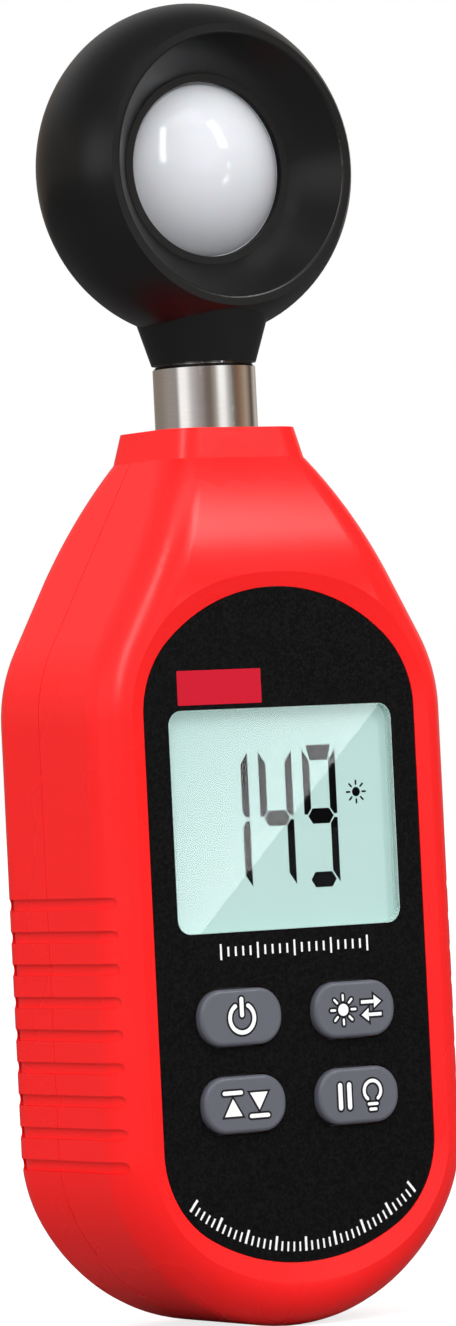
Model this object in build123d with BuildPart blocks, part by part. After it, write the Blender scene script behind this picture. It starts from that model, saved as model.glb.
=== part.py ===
from math import atan2, cos, degrees, radians, sin
import os

from build123d import *

# A pocket light meter: a red two-shell case with a display and four keys, and a round black
# sensor head that swivels on a short steel neck tube. Millimetres, +Z up along the length,
# the display faces -Y, and the origin lies under the case in the middle of its width and depth.

# Case
case_width = 50.0
case_depth = 28.0
case_corner = 5.0            # rounding between the sides and the front and back faces
case_wall = 2.0
seam_y = 1.5                 # plane where the two shells meet
side_low = 22.0              # where the straight sides begin
foot_corner = 18.0           # outline radius beside the foot arc
shoulder_z = 105.0           # top of the sloped shoulders
shoulder_half = 10.3
shoulder_angle = 29.25       # of the sloped sides, from upright
shoulder_round = 19.0
shoulder_depth = 16.6        # case depth at the top of the shoulders
slope_start = 88.0           # where the front and back begin to lean inwards
lip_height = 1.0
lip_gap = 0.12
seam_groove_half = 0.06      # fine groove where the two shells meet
seam_groove_deep = 0.06

# Neck block on top of the case
collar_width = 18.9
collar_depth = 15.4
collar_corner = 4.0
collar_top = 108.7
neck_block_low = 97.0        # underside of the solid block that holds the tube

# Front panel, sunk in the front of the case
panel_half = 19.3
panel_low = 7.9
panel_top = 89.0
panel_side_low = 22.0
panel_side_high = 74.0
panel_corner = 12.2
panel_thick = 0.5
panel_gap = 0.1
ring_width = 2.4             # sloped red band round the panel
ring_depth = 0.6

# Display
window_width = 31.9
window_height = 26.7
window_z = 61.2
window_corner = 1.8
window_gap = 0.08
window_thick = 1.0
glass_width = 36.0
glass_height = 30.4
glass_thick = 2.0
guide_thick = 2.2
display_gap = 0.1            # between the pieces of the display stack
frame_wall = 1.3
lamp_size = (10.0, 1.2, guide_thick)
zebra_depth = 1.8

# Keys
key_width = 11.6
key_height = 6.8
key_corner = 3.2
key_pitch_x = 16.26
key_pitch_z = 10.41
key_row_z = 32.5
key_proud = 0.9              # above the panel
key_edge = 0.5
key_gap = 0.2
key_lip = 1.0                # flange that keeps the key behind the front wall
key_lip_thick = 1.0
key_post = 1.5
key_travel = 0.6
key_rest_gap = 0.1
mat_thick = 0.6
mat_dome = 3.4
mat_dome_height = 0.9
mat_skin = 0.5
mat_taper = 35              # degrees, outside and inside of the domes
mat_inner_taper = 25
snap_radius = 2.4
snap_height = 0.3
snap_round = 0.24

# Main board
stack_depth = 5.6            # room for the display between the front wall and the board
board_thick = 1.6
board_half = 19.6
board_low = 12.2
board_top = 78.6
board_corner = 7.0
board_screw_high = (17.5, 36.5)
board_screw_low = (14.5, 17.6)
standoff_radius = 2.0

# Screws
screw_radius = 1.0
screw_head = 1.9
screw_head_high = 1.3
screw_slot = (2.1, 0.5)
screw_hole_gap = 0.05
screw_pass_gap = 0.15
case_screw_high = (16.5, 82.0)
case_screw_low = (11.5, 8.4)
case_screw_depth = 4.0       # head seat below the back face
case_screw_reach = 7.0       # thread held by the front shell
boss_radius = 2.7
board_screw_reach = 4.0

# Grip grooves
groove_count = 9
groove_low = 20.75
groove_pitch = 3.92
groove_width = 1.4
groove_depth = 0.5
groove_front = -12.4
groove_back = 12.6

# Cells and their bay
cell_radius = 5.25
cell_length = 44.5           # with its tip
cell_tip = 0.9
cell_tip_radius = 1.9
cell_edge = 0.5
cell_pitch = 11.2
cell_gap = 0.2
spring_room = 5.0
spring_wire = 0.35
spring_radius = 3.0
spring_turns = 4
contact_thick = 0.4
contact_size = 6.6
contact_gap = 0.05
tail_width = 2.0             # solder tails of the two end contacts
tail_room = 0.3
bay_wall = 1.2
bay_low = 14.8
bay_foot_wall = 1.6

# Battery door
door_thick = 1.8
door_low = 14.0
door_lip = 1.15              # how far the door laps over the bay walls
door_gap = 0.15
hinge_round = 2.0
hinge_gap = 0.2
knuckle_width = 2.4
catch_width = 8.0
catch_height = 0.6
notch_height = 1.2
notch_corner = 1.08
door_ridges = 4
door_ridge_pitch = 1.6

# Neck tube and swivel
tube_radius = 6.28
tube_bore = 4.4
tube_low = 96.0
tube_top = 116.65
tube_chamfer = 0.35
tube_fit = 0.05
flange_size = 14.6
flange_corner = 2.5
flange_low = 99.0
flange_thick = 1.6
flange_gap = 0.1
swivel_fit = 0.05
spindle_bore = 2.6
spindle_flange = 5.4
spindle_flange_low = 118.45
spindle_flange_thick = 1.2
spindle_top = 120.85
tail_radius = 3.5
tail_flat = 3.0              # flats that turn the stop washer with the spindle
washer_radius = 5.6
washer_thick = 0.8
washer_gap = 0.2
clip_thick = 0.6
clip_radius = 4.6
clip_groove = 0.5
tail_end = 0.8
o_ring_wire = 0.55
o_ring_z = 106.0
o_ring_groove = 0.66         # half the height of its groove
stop_tab_reach = 8.4
stop_tab_half = 18.0         # degrees either side of the tab
stop_lug_half = 25.0
stop_lug_angle = 225.0
stop_lug_inner = 7.0
stop_lug_outer = 8.8
stop_lug_drop = 2.0

# Sensor head
head_z = 140.5
head_radius = 20.5
head_crown = 1.8             # how much deeper the full ellipsoid is than the case, in front and behind
head_back_round = 6.0        # round between its sides and its back, level with the case's back
head_wall = 1.8
head_rim_y = 8.7             # front rim, in front of the middle plane
rim_width = 1.05
cone_depth = 5.6
seat_radius = 11.65
dome_radius = 10.6
dome_height = 5.4
dome_base_y = 2.1
dome_gap = 0.1
dome_skin = 1.2
dome_flange = 1.2
dome_flange_thick = 0.9
cone_wall = 1.5
head_lip = 0.6
head_lip_gap = 0.1
head_lip_long = 1.0
neck_low_radius = 6.4
neck_high_radius = 8.0
neck_low_z = 116.9
neck_high_z = 122.05
neck_gap = 0.05
baffle_length = 4.4
baffle_mouth = 9.4
baffle_bore = 5.4
baffle_gap = 0.25
filter_radius = 6.0
filter_thick = 1.0
filter_depth = 1.85          # behind the baffle's front face
diode_radius = 4.1
diode_height = 1.4
sensor_board_radius = 11.0
sensor_board_thick = 1.2
head_screw_ring = 15.2
head_boss = 1.9
head_screw_reach = 4.0
head_screw_seat = 5.0        # head seat behind the middle plane

sensor_plug_size = (6.0, 5.0, 2.2)
sensor_plug_z = 124.6
sensor_tail_width = 7.0
clamp_ring_radius = 10.2
clamp_ring_wall = 1.0
rim_round = 0.4
funnel_root = 2.4            # depth at which the funnel's back leaves the rim

# Sensor lead, from the plug on the main board up the middle of the spindle
lead_radius = 0.8
lead_gap = 0.1
lead_in_plug = 1.4
lead_straight_low = 86.0
lead_bend_low = 80.5
lead_plug_size = (6.0, 2.6, 4.0)
lead_plug_top = 75.5
lead_plug_round = 0.5
lead_bends = (9.0, 7.0)

# Chips on the back of the main board
controller_size = (10.0, 10.0, 1.0)
controller_at = (0.0, 52.0)
controller_corner = 0.8      # cut corner that marks the first pin
module_size = (12.0, 9.0, 1.0)
module_can = (8.0, 7.0, 1.2)
module_at = (12.0, 71.5)      # clear of the end contacts' tails

half_width = case_width / 2
half_depth = case_depth / 2
mid_plane = Plane.XZ
seam_plane = Plane.XZ.offset(-seam_y)
inner_front = half_depth - case_wall
board_front = inner_front - stack_depth
head_depth = half_depth + head_crown
panel_face = half_depth - ring_depth
pocket_floor = panel_face - panel_thick
key_points = [(sx * key_pitch_x / 2, key_row_z + sz * key_pitch_z / 2)
              for sz in (1, -1) for sx in (-1, 1)]
case_screw_points = [(sx * p[0], p[1]) for p in (case_screw_high, case_screw_low) for sx in (-1, 1)]
board_screw_points = [(sx * p[0], p[1]) for p in (board_screw_high, board_screw_low) for sx in (-1, 1)]


def front_plane(distance):
    """Plane facing the user, at this distance in front of the middle of the case."""
    return Plane.XZ.offset(distance)


def end_radius(depth, half, corner):
    """Radius of the arc that closes an outline between two corner arcs."""
    return (depth ** 2 + (half - corner) ** 2 - corner ** 2) / (2 * (depth - corner))


def end_arcs(half, side_end, tip, corner):
    """Draw a closing arc through (0, tip) and the two corner arcs that join it to the sides."""
    way = 1 if tip > side_end else -1
    big = end_radius(abs(tip - side_end), half, corner)
    centre = (0, tip - way * big)
    lean = degrees(atan2(side_end - centre[1], half - corner))
    CenterArc(centre, big, lean, way * (180 - 2 * way * lean))
    CenterArc((half - corner, side_end), corner, 0, lean)
    CenterArc((corner - half, side_end), corner, 180, -lean)


def panel_outline(grow):
    """Outline of the front panel, grown outwards."""
    half = panel_half + grow
    with BuildLine(Plane.XY) as outline:
        end_arcs(half, panel_side_low, panel_low - grow, panel_corner + grow)
        end_arcs(half, panel_side_high, panel_top + grow, panel_corner + grow)
        for side in (-half, half):
            Line((side, panel_side_low), (side, panel_side_high))
    return outline.edges()


def case_outline():
    """Front outline of the case up to the top of its shoulders."""
    angle = radians(shoulder_angle)
    centre_x = half_width - shoulder_round
    reach = shoulder_round - cos(angle) * (shoulder_half - centre_x)
    side_high = shoulder_z - reach / sin(angle)
    slope_foot = (centre_x + shoulder_round * cos(angle), side_high + shoulder_round * sin(angle))
    with BuildLine(Plane.XY) as outline:
        end_arcs(half_width, side_low, 0, foot_corner)
        for way in (-1, 1):
            Line((way * half_width, side_low), (way * half_width, side_high))
            start = 0 if way > 0 else 180
            CenterArc((way * centre_x, side_high), shoulder_round, start, way * shoulder_angle)
            Line((way * slope_foot[0], slope_foot[1]), (way * shoulder_half, shoulder_z))
        Line((-shoulder_half, shoulder_z), (shoulder_half, shoulder_z))
    return outline.edges()


def case_side():
    """Side outline of the case: upright faces that curve in towards the neck."""
    lean = half_depth - shoulder_depth / 2
    rise = shoulder_z - slope_start
    bend = (lean ** 2 + rise ** 2) / (2 * lean)
    turn = degrees(atan2(rise, bend - lean))
    with BuildLine(Plane.XY) as outline:
        Line((-half_depth, 0), (half_depth, 0))
        for way in (-1, 1):
            Line((way * half_depth, 0), (way * half_depth, slope_start))
            start = 0 if way > 0 else 180
            CenterArc((way * (half_depth - bend), slope_start), bend, start, way * turn)
        Line((-shoulder_depth / 2, shoulder_z), (shoulder_depth / 2, shoulder_z))
    return outline.edges()


def case_blank(inset):
    """Solid case body, made smaller all round by inset."""
    with BuildPart() as blank:
        with BuildSketch(mid_plane):
            make_face(case_outline())
            if inset:
                offset(amount=-inset, mode=Mode.REPLACE)
        extrude(amount=half_depth - inset, both=True)
        with BuildSketch(Plane.YZ):
            make_face(case_side())
            if inset:
                offset(amount=-inset, mode=Mode.REPLACE)
        extrude(amount=case_width, both=True, mode=Mode.INTERSECT)
        flat = blank.edges().filter_by(Axis.X) + blank.edges().filter_by(Axis.Y)
        fillet(blank.edges() - flat, radius=case_corner - inset)
    return blank.part


def finish_piece(builder, node):
    """Name a finished piece after its node and write it out."""
    builder.part.label = node
    export_step(builder.part, f"parts/{node}.step")


os.makedirs("parts", exist_ok=True)

# Shapes that both shells share
case_solid = case_blank(0)
case_cavity = case_blank(case_wall)
lip_outside = case_blank(case_wall / 2)
lip_seat_outside = case_blank(case_wall / 2 - lip_gap)
groove_floor = case_blank(groove_depth)
seam_groove_floor = case_blank(seam_groove_deep)

with BuildPart() as case_outer:
    add(case_solid)
    shoulder_top = case_outer.faces().sort_by(Axis.Z)[-1]
    with BuildSketch(Plane.XY.offset(collar_top)) as collar_edge:
        RectangleRounded(collar_width, collar_depth, collar_corner)
    loft(sections=[shoulder_top, collar_edge.sketch.face()], ruled=True)

with BuildPart() as case_inner:
    add(case_cavity)
    with BuildSketch(Plane.XY.offset(neck_block_low)):
        Rectangle(case_width, case_depth)
    extrude(amount=case_width, mode=Mode.SUBTRACT)

# Room that the tube and its flange take out of the neck block
with BuildPart() as neck_room:
    with BuildSketch(Plane.XY.offset(neck_block_low)):
        Circle(tube_radius + tube_fit)
    extrude(amount=collar_top - neck_block_low)
    with BuildSketch(Plane.XY.offset(flange_low - flange_gap / 2)):
        RectangleRounded(flange_size + flange_gap, flange_size + flange_gap, flange_corner)
    extrude(amount=flange_thick + flange_gap)

groove_points = [groove_low + index * groove_pitch for index in range(groove_count)]
groove_length = groove_back - groove_front
groove_middle = (groove_back + groove_front) / 2
with BuildPart() as grooves:
    with BuildSketch(Plane.YZ):
        with Locations(*[(groove_middle, z) for z in groove_points]):
            SlotOverall(groove_length, groove_width)
    extrude(amount=case_width, both=True)
    add(groove_floor, mode=Mode.SUBTRACT)

seam_groove_top = shoulder_z - 2 * seam_groove_deep
with BuildPart() as seam_groove:
    add(case_solid)
    add(seam_groove_floor, mode=Mode.SUBTRACT)
    with BuildSketch(seam_plane):
        Rectangle(2 * case_width, 2 * seam_groove_top)
    extrude(amount=seam_groove_half, both=True, mode=Mode.INTERSECT)

# Lip of the rear shell, and the seat for it inside the front shell's edge
lip_top = neck_block_low - case_wall
with BuildPart() as lip_band:
    add(lip_outside)
    add(case_inner.part, mode=Mode.SUBTRACT)
    with BuildSketch(seam_plane):
        with Locations((0, lip_top / 2)):
            Rectangle(case_width, lip_top)
    extrude(amount=lip_height, mode=Mode.INTERSECT)

with BuildPart() as lip_seat:
    add(lip_seat_outside)
    with BuildSketch(seam_plane):
        with Locations((0, lip_top / 2)):
            Rectangle(case_width, lip_top + 2 * lip_gap)
    extrude(amount=lip_height + lip_gap, mode=Mode.INTERSECT)

# Front shell
with BuildPart() as front_shell:
    add(case_outer.part)
    add(case_inner.part, mode=Mode.SUBTRACT)
    split(bisect_by=seam_plane, keep=Keep.TOP)
    add(lip_seat.part, mode=Mode.SUBTRACT)
    with BuildSketch(seam_plane):
        with Locations(*case_screw_points):
            Circle(boss_radius)
    extrude(amount=seam_y + inner_front + case_wall / 4)
    with BuildSketch(front_plane(board_front)):
        with Locations(*board_screw_points):
            Circle(standoff_radius)
    extrude(amount=inner_front - board_front + case_wall / 4)
    # stop lug under the neck block
    with BuildSketch(Plane.XY.offset(neck_block_low)):
        with BuildLine():
            lug_start = stop_lug_angle - stop_lug_half
            inner_arc = CenterArc((0, 0), stop_lug_inner, lug_start, 2 * stop_lug_half)
            outer_arc = CenterArc((0, 0), stop_lug_outer, lug_start, 2 * stop_lug_half)
            Line(inner_arc @ 0, outer_arc @ 0)
            Line(inner_arc @ 1, outer_arc @ 1)
        make_face()
    extrude(amount=-stop_lug_drop)
    add(neck_room.part, mode=Mode.SUBTRACT)
    add(grooves.part, mode=Mode.SUBTRACT)
    add(seam_groove.part, mode=Mode.SUBTRACT)
    # pocket and sloped band for the panel
    with BuildSketch(front_plane(pocket_floor)):
        make_face(panel_outline(panel_gap))
    extrude(amount=case_wall + panel_thick, mode=Mode.SUBTRACT)
    with BuildSketch(front_plane(panel_face)):
        make_face(panel_outline(panel_gap))
    with BuildSketch(front_plane(half_depth)):
        make_face(panel_outline(panel_gap + ring_width))
    loft(ruled=True, mode=Mode.SUBTRACT)
    # display opening and key holes through the wall behind the panel
    with BuildSketch(front_plane(inner_front - case_wall)):
        with Locations((0, window_z)):
            RectangleRounded(window_width, window_height, window_corner)
        with Locations(*key_points):
            RectangleRounded(key_width + 2 * key_gap, key_height + 2 * key_gap, key_corner + key_gap)
    extrude(amount=2 * case_wall, mode=Mode.SUBTRACT)
    with BuildSketch(seam_plane):
        with Locations(*case_screw_points):
            Circle(screw_radius + screw_hole_gap)
    extrude(amount=case_screw_reach + screw_hole_gap, mode=Mode.SUBTRACT)
    with BuildSketch(front_plane(board_front)):
        with Locations(*board_screw_points):
            Circle(screw_radius + screw_hole_gap)
    extrude(amount=board_screw_reach + screw_hole_gap, mode=Mode.SUBTRACT)
finish_piece(front_shell, "front_shell")

# Rear shell, with the bay for the cells. The door's lower edge is rounded about the hinge line.
cell_y = half_depth - door_thick - 2 * cell_gap - cell_radius
bay_half = cell_pitch + cell_radius + cell_gap
bay_top = bay_low + 2 * contact_thick + spring_room + cell_length
bay_floor_y = cell_y - cell_radius - cell_gap
door_inside_y = half_depth - door_thick
door_half = bay_half + door_lip
door_top = bay_top + door_lip
hinge_y = half_depth - hinge_round
hinge_z = door_low + hinge_round
contact_levels = (bay_low + contact_thick / 2, bay_top - contact_thick / 2)
tail_points = ((cell_pitch, contact_levels[0]), (-cell_pitch, contact_levels[1]))

with BuildPart() as door_room:
    with BuildSketch(Plane.YZ):
        with Locations((half_depth, (hinge_z + door_top + door_gap) / 2)):
            Rectangle(2 * (door_thick + cell_gap / 2), door_top + door_gap - hinge_z)
        with Locations((hinge_y, hinge_z)):
            Circle(hinge_round + hinge_gap)
    extrude(amount=door_half + door_gap, both=True)
    # notch for a fingertip and for the catch
    with BuildSketch(front_plane(-half_depth - case_wall)):
        with Locations((0, door_top)):
            RectangleRounded(catch_width + 2 * notch_height, 2 * notch_height, notch_corner)
    extrude(amount=case_wall + door_thick + cell_gap / 2)

screw_seat_y = half_depth - case_screw_depth
with BuildPart() as rear_shell:
    add(case_outer.part)
    add(case_inner.part, mode=Mode.SUBTRACT)
    split(bisect_by=seam_plane, keep=Keep.BOTTOM)
    add(lip_band.part)
    with BuildSketch(seam_plane):
        with Locations(*case_screw_points):
            Circle(boss_radius)
    extrude(amount=seam_y - inner_front - case_wall / 4)
    # bay walls
    with BuildSketch(front_plane(bay_wall - bay_floor_y)):
        with Locations((0, (bay_low - bay_foot_wall + bay_top + bay_wall) / 2)):
            Rectangle(2 * (bay_half + bay_wall), bay_top + bay_wall - bay_low + bay_foot_wall)
    extrude(amount=bay_floor_y - bay_wall - inner_front - case_wall / 4)
    with BuildSketch(front_plane(-bay_floor_y)):
        with Locations((0, (bay_low + bay_top) / 2)):
            Rectangle(2 * bay_half, bay_top - bay_low)
    extrude(amount=bay_floor_y - 2 * half_depth, mode=Mode.SUBTRACT)
    with BuildSketch(front_plane(-bay_floor_y)):
        with Locations(*tail_points):
            Rectangle(tail_width + tail_room, contact_thick + tail_room)
    extrude(amount=2 * bay_wall, mode=Mode.SUBTRACT)
    add(door_room.part, mode=Mode.SUBTRACT)
    add(neck_room.part, mode=Mode.SUBTRACT)
    add(grooves.part, mode=Mode.SUBTRACT)
    add(seam_groove.part, mode=Mode.SUBTRACT)
    with BuildSketch(seam_plane):
        with Locations(*case_screw_points):
            Circle(screw_radius + screw_pass_gap)
    extrude(amount=-case_depth, mode=Mode.SUBTRACT)
    with BuildSketch(front_plane(-screw_seat_y)):
        with Locations(*case_screw_points):
            Circle(screw_head + screw_pass_gap)
    extrude(amount=-case_depth, mode=Mode.SUBTRACT)
finish_piece(rear_shell, "rear_shell")

knuckle_points = [sx * cell_pitch / 2 for sx in (-1, 1)]
with BuildPart() as battery_door:
    add(case_solid)
    with BuildSketch(Plane.YZ):
        with Locations((door_inside_y + case_wall, (hinge_z + door_top) / 2)):
            Rectangle(2 * case_wall, door_top - hinge_z)
        with Locations((hinge_y, hinge_z)):
            Circle(hinge_round)
        with Locations((door_inside_y - case_wall, hinge_z)):
            Rectangle(2 * case_wall, 3 * hinge_round, mode=Mode.SUBTRACT)
    extrude(amount=door_half, both=True, mode=Mode.INTERSECT)
    # knuckles that roll in the seat, between the cells
    for x in knuckle_points:
        with BuildSketch(Plane.YZ.offset(x - knuckle_width / 2)):
            with Locations((hinge_y, hinge_z)):
                Circle(hinge_round)
        extrude(amount=knuckle_width)
    # catch at the top and shallow thumb grooves under it
    with BuildSketch(front_plane(-door_inside_y)):
        with Locations((0, door_top)):
            Rectangle(catch_width, 2 * catch_height)
    extrude(amount=-door_thick / 2)
    with BuildSketch(Plane.YZ):
        with Locations(*[(half_depth, door_top - (index + 2) * door_ridge_pitch)
                         for index in range(door_ridges)]):
            Circle(door_ridge_pitch / 4)
    extrude(amount=catch_width, both=True, mode=Mode.SUBTRACT)
finish_piece(battery_door, "battery_door")

# Front panel with its window
with BuildPart() as front_panel:
    with BuildSketch(front_plane(pocket_floor)):
        make_face(panel_outline(0))
        with Locations((0, window_z)):
            RectangleRounded(window_width, window_height, window_corner, mode=Mode.SUBTRACT)
        with Locations(*key_points):
            RectangleRounded(key_width + 2 * key_gap, key_height + 2 * key_gap,
                             key_corner + key_gap, mode=Mode.SUBTRACT)
    extrude(amount=panel_thick)
finish_piece(front_panel, "front_panel")

window_size = (window_width - 2 * window_gap, window_height - 2 * window_gap)
with BuildPart() as display_window:
    with BuildSketch(front_plane(panel_face)):
        with Locations((0, window_z)):
            RectangleRounded(*window_size, window_corner - window_gap)
    extrude(amount=-window_thick)
finish_piece(display_window, "display_window")

# Display stack: glass, light guide, lamp and zebra strip inside a frame that stands on the board
glass_front = inner_front - display_gap
guide_front = glass_front - glass_thick - display_gap
guide_back = guide_front - guide_thick
with BuildPart() as lcd_glass:
    with BuildSketch(front_plane(glass_front)):
        with Locations((0, window_z)):
            Rectangle(glass_width, glass_height)
    extrude(amount=-glass_thick)
    # the rear plate is shorter, so the contact ledge along the lower edge faces the zebra strip
    chamfer(lcd_glass.edges().group_by(Axis.Y)[0], length=glass_thick / 8)
finish_piece(lcd_glass, "lcd_glass")

zebra_z = window_z - glass_height / 2 + zebra_depth / 2
with BuildPart() as zebra_strip:
    with BuildSketch(front_plane(board_front)):
        with Locations((0, zebra_z)):
            Rectangle(glass_width - 2 * frame_wall, zebra_depth)
    extrude(amount=glass_front - glass_thick - board_front)
    fillet(zebra_strip.edges().filter_by(Axis.X), radius=zebra_depth / 6)
finish_piece(zebra_strip, "zebra_strip")

guide_low = zebra_z + zebra_depth / 2 + 2 * display_gap
guide_high = window_z + glass_height / 2 - lamp_size[1] - 2 * display_gap
with BuildPart() as light_guide:
    with BuildSketch(front_plane(guide_front)):
        with Locations((0, (guide_low + guide_high) / 2)):
            Rectangle(glass_width - 2 * display_gap, guide_high - guide_low)
    extrude(amount=-guide_thick)
    chamfer(light_guide.edges().group_by(Axis.Z)[0].filter_by(Axis.X), length=guide_thick / 5)
finish_piece(light_guide, "light_guide")

with BuildPart() as backlight_lamp:
    with BuildSketch(front_plane(guide_front)):
        with Locations((0, guide_high + display_gap + lamp_size[1] / 2)):
            Rectangle(lamp_size[0], lamp_size[1])
    extrude(amount=-lamp_size[2])
    with BuildSketch(front_plane(guide_back)):
        with Locations((-lamp_size[0] / 3, guide_high + display_gap + lamp_size[1] / 2),
                       (lamp_size[0] / 3, guide_high + display_gap + lamp_size[1] / 2)):
            Circle(lamp_size[1] / 4)
    extrude(amount=board_front - guide_back)
finish_piece(backlight_lamp, "backlight_lamp")

frame_size = (glass_width + 2 * display_gap, glass_height + 2 * display_gap)
with BuildPart() as lcd_frame:
    with BuildSketch(front_plane(board_front)):
        with Locations((0, window_z)):
            RectangleRounded(frame_size[0] + 2 * frame_wall, frame_size[1] + 2 * frame_wall, frame_wall)
            Rectangle(*frame_size, mode=Mode.SUBTRACT)
    extrude(amount=glass_front - board_front)
finish_piece(lcd_frame, "lcd_frame")

# Keys: a cap through the panel, a flange behind the wall and a post over its dome
mat_front = board_front + mat_thick
dome_tip = mat_front + mat_dome_height
post_end = dome_tip + key_rest_gap + key_travel
flange_front = inner_front - key_gap / 2
key_names = ("key_power", "key_unit", "key_max_min", "key_hold")
for name, point in zip(key_names, key_points):
    with BuildPart() as key:
        with BuildSketch(front_plane(flange_front)):
            with Locations(point):
                RectangleRounded(key_width, key_height, key_corner)
        extrude(amount=panel_face + key_proud - flange_front)
        fillet(key.edges().group_by(Axis.Y)[0], radius=key_edge)
        with BuildSketch(front_plane(flange_front)):
            with Locations(point):
                RectangleRounded(key_width + 2 * key_lip, key_height + 2 * key_lip, key_corner + key_lip)
        extrude(amount=-key_lip_thick)
        with BuildSketch(front_plane(post_end)):
            with Locations(point):
                Circle(key_post)
        extrude(amount=flange_front - post_end)
    finish_piece(key, name)

mat_width = key_pitch_x + key_width + 2 * key_lip
mat_height = key_pitch_z + key_height + 2 * key_lip
with BuildPart() as keypad_mat:
    with BuildSketch(front_plane(board_front)):
        with Locations((0, key_row_z)):
            RectangleRounded(mat_width, mat_height, key_corner)
    extrude(amount=mat_thick)
    with BuildSketch(front_plane(mat_front)):
        with Locations(*key_points):
            Circle(mat_dome)
    extrude(amount=mat_dome_height, taper=mat_taper)
    with BuildSketch(front_plane(board_front)):
        with Locations(*key_points):
            Circle(mat_dome - mat_skin)
    extrude(amount=mat_thick + mat_dome_height - mat_skin, taper=mat_inner_taper, mode=Mode.SUBTRACT)
finish_piece(keypad_mat, "keypad_mat")

for index, point in enumerate(key_points):
    with BuildPart() as snap_disc:
        with BuildSketch(front_plane(board_front)):
            with Locations(point):
                Circle(snap_radius)
        extrude(amount=snap_height)
        fillet(snap_disc.edges().group_by(Axis.Y)[0], radius=snap_round)
    finish_piece(snap_disc, f"snap_disc_{index + 1}")

# Main board and what is soldered to it
board_back = board_front - board_thick
with BuildPart() as main_board:
    with BuildSketch(front_plane(board_front)):
        with Locations((0, (board_low + board_top) / 2)):
            Rectangle(2 * board_half, board_top - board_low)
    extrude(amount=-board_thick)
    fillet(main_board.edges().filter_by(Axis.Y).group_by(Axis.Z)[0], radius=board_corner)
    with BuildSketch(front_plane(board_front)):
        with Locations(*board_screw_points):
            Circle(screw_radius + screw_pass_gap)
    extrude(amount=-board_thick, mode=Mode.SUBTRACT)
finish_piece(main_board, "main_board")

with BuildPart() as controller_chip:
    with BuildSketch(front_plane(board_back)):
        with Locations(controller_at):
            Rectangle(controller_size[0], controller_size[1])
    extrude(amount=-controller_size[2])
    chamfer(controller_chip.edges().filter_by(Axis.Y).group_by(Axis.Z)[-1][:1], length=controller_corner)
finish_piece(controller_chip, "controller_chip")

with BuildPart() as wireless_module:
    with BuildSketch(front_plane(board_back)):
        with Locations(module_at):
            Rectangle(module_size[0], module_size[1])
    extrude(amount=-module_size[2])
    with BuildSketch(front_plane(board_back - module_size[2])):
        with Locations((module_at[0] - (module_size[0] - module_can[0]) / 4, module_at[1])):
            Rectangle(module_can[0], module_can[1])
    extrude(amount=-module_can[2])
finish_piece(wireless_module, "wireless_module")

lead_plug_y = -(board_back - lead_plug_size[1] / 2)
with BuildPart() as lead_plug:
    with BuildSketch(Plane.XY.offset(lead_plug_top)):
        with Locations((0, lead_plug_y)):
            Rectangle(lead_plug_size[0], lead_plug_size[1])
    extrude(amount=-lead_plug_size[2])
    fillet(lead_plug.edges().filter_by(Axis.Z).group_by(Axis.Y)[-1], radius=lead_plug_round)
finish_piece(lead_plug, "lead_plug")

# Cells, alternately tip up and tip down, with a spring under each flat end
for index, way in enumerate((1, -1, 1)):
    x = (index - 1) * cell_pitch
    flat_z = bay_low + contact_thick + spring_room
    if way < 0:
        flat_z = bay_top - contact_thick - spring_room
    tip_shoulder = flat_z + way * (cell_length - cell_tip)
    with BuildPart() as battery_cell:
        with BuildSketch(Plane.XY.offset(flat_z)):
            with Locations((x, cell_y)):
                Circle(cell_radius)
        extrude(amount=way * (cell_length - cell_tip))
        fillet(battery_cell.edges().filter_by(GeomType.CIRCLE), radius=cell_edge)
        with BuildSketch(Plane.XY.offset(tip_shoulder)):
            with Locations((x, cell_y)):
                Circle(cell_tip_radius)
        extrude(amount=way * (cell_tip - contact_gap))
    finish_piece(battery_cell, f"battery_cell_{index + 1}")
    coil_low = flat_z - way * (spring_room - spring_wire - contact_gap)
    coil_room = spring_room - 2 * spring_wire - 2 * contact_gap
    with BuildPart() as battery_spring:
        with BuildLine():
            coil = Helix(coil_room / spring_turns, coil_room, spring_radius, center=(x, cell_y, coil_low),
                         direction=(0, 0, way))
        with BuildSketch(Plane(origin=coil @ 0, z_dir=coil % 0)):
            Circle(spring_wire)
        sweep(is_frenet=True)
    finish_piece(battery_spring, f"battery_spring_{index + 1}")

for name, level, low_x, high_x, tail in (
        ("contact_low_bridge", 0, -cell_pitch, 0, False),
        ("contact_low_end", 0, cell_pitch, cell_pitch, True),
        ("contact_high_end", 1, -cell_pitch, -cell_pitch, True),
        ("contact_high_bridge", 1, 0, cell_pitch, False)):
    with BuildPart() as contact:
        with BuildSketch(Plane.XY.offset(contact_levels[level] - contact_thick / 2)):
            with Locations(((low_x + high_x) / 2, cell_y)):
                RectangleRounded(high_x - low_x + contact_size, contact_size, contact_size / 6)
        extrude(amount=contact_thick)
        if tail:
            tail_front = -board_back + contact_gap
            with BuildSketch(Plane.XY.offset(contact_levels[level] - contact_thick / 2)):
                with Locations((low_x, (cell_y + tail_front) / 2)):
                    Rectangle(tail_width, cell_y - tail_front)
            extrude(amount=contact_thick)
    finish_piece(contact, name)


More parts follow.
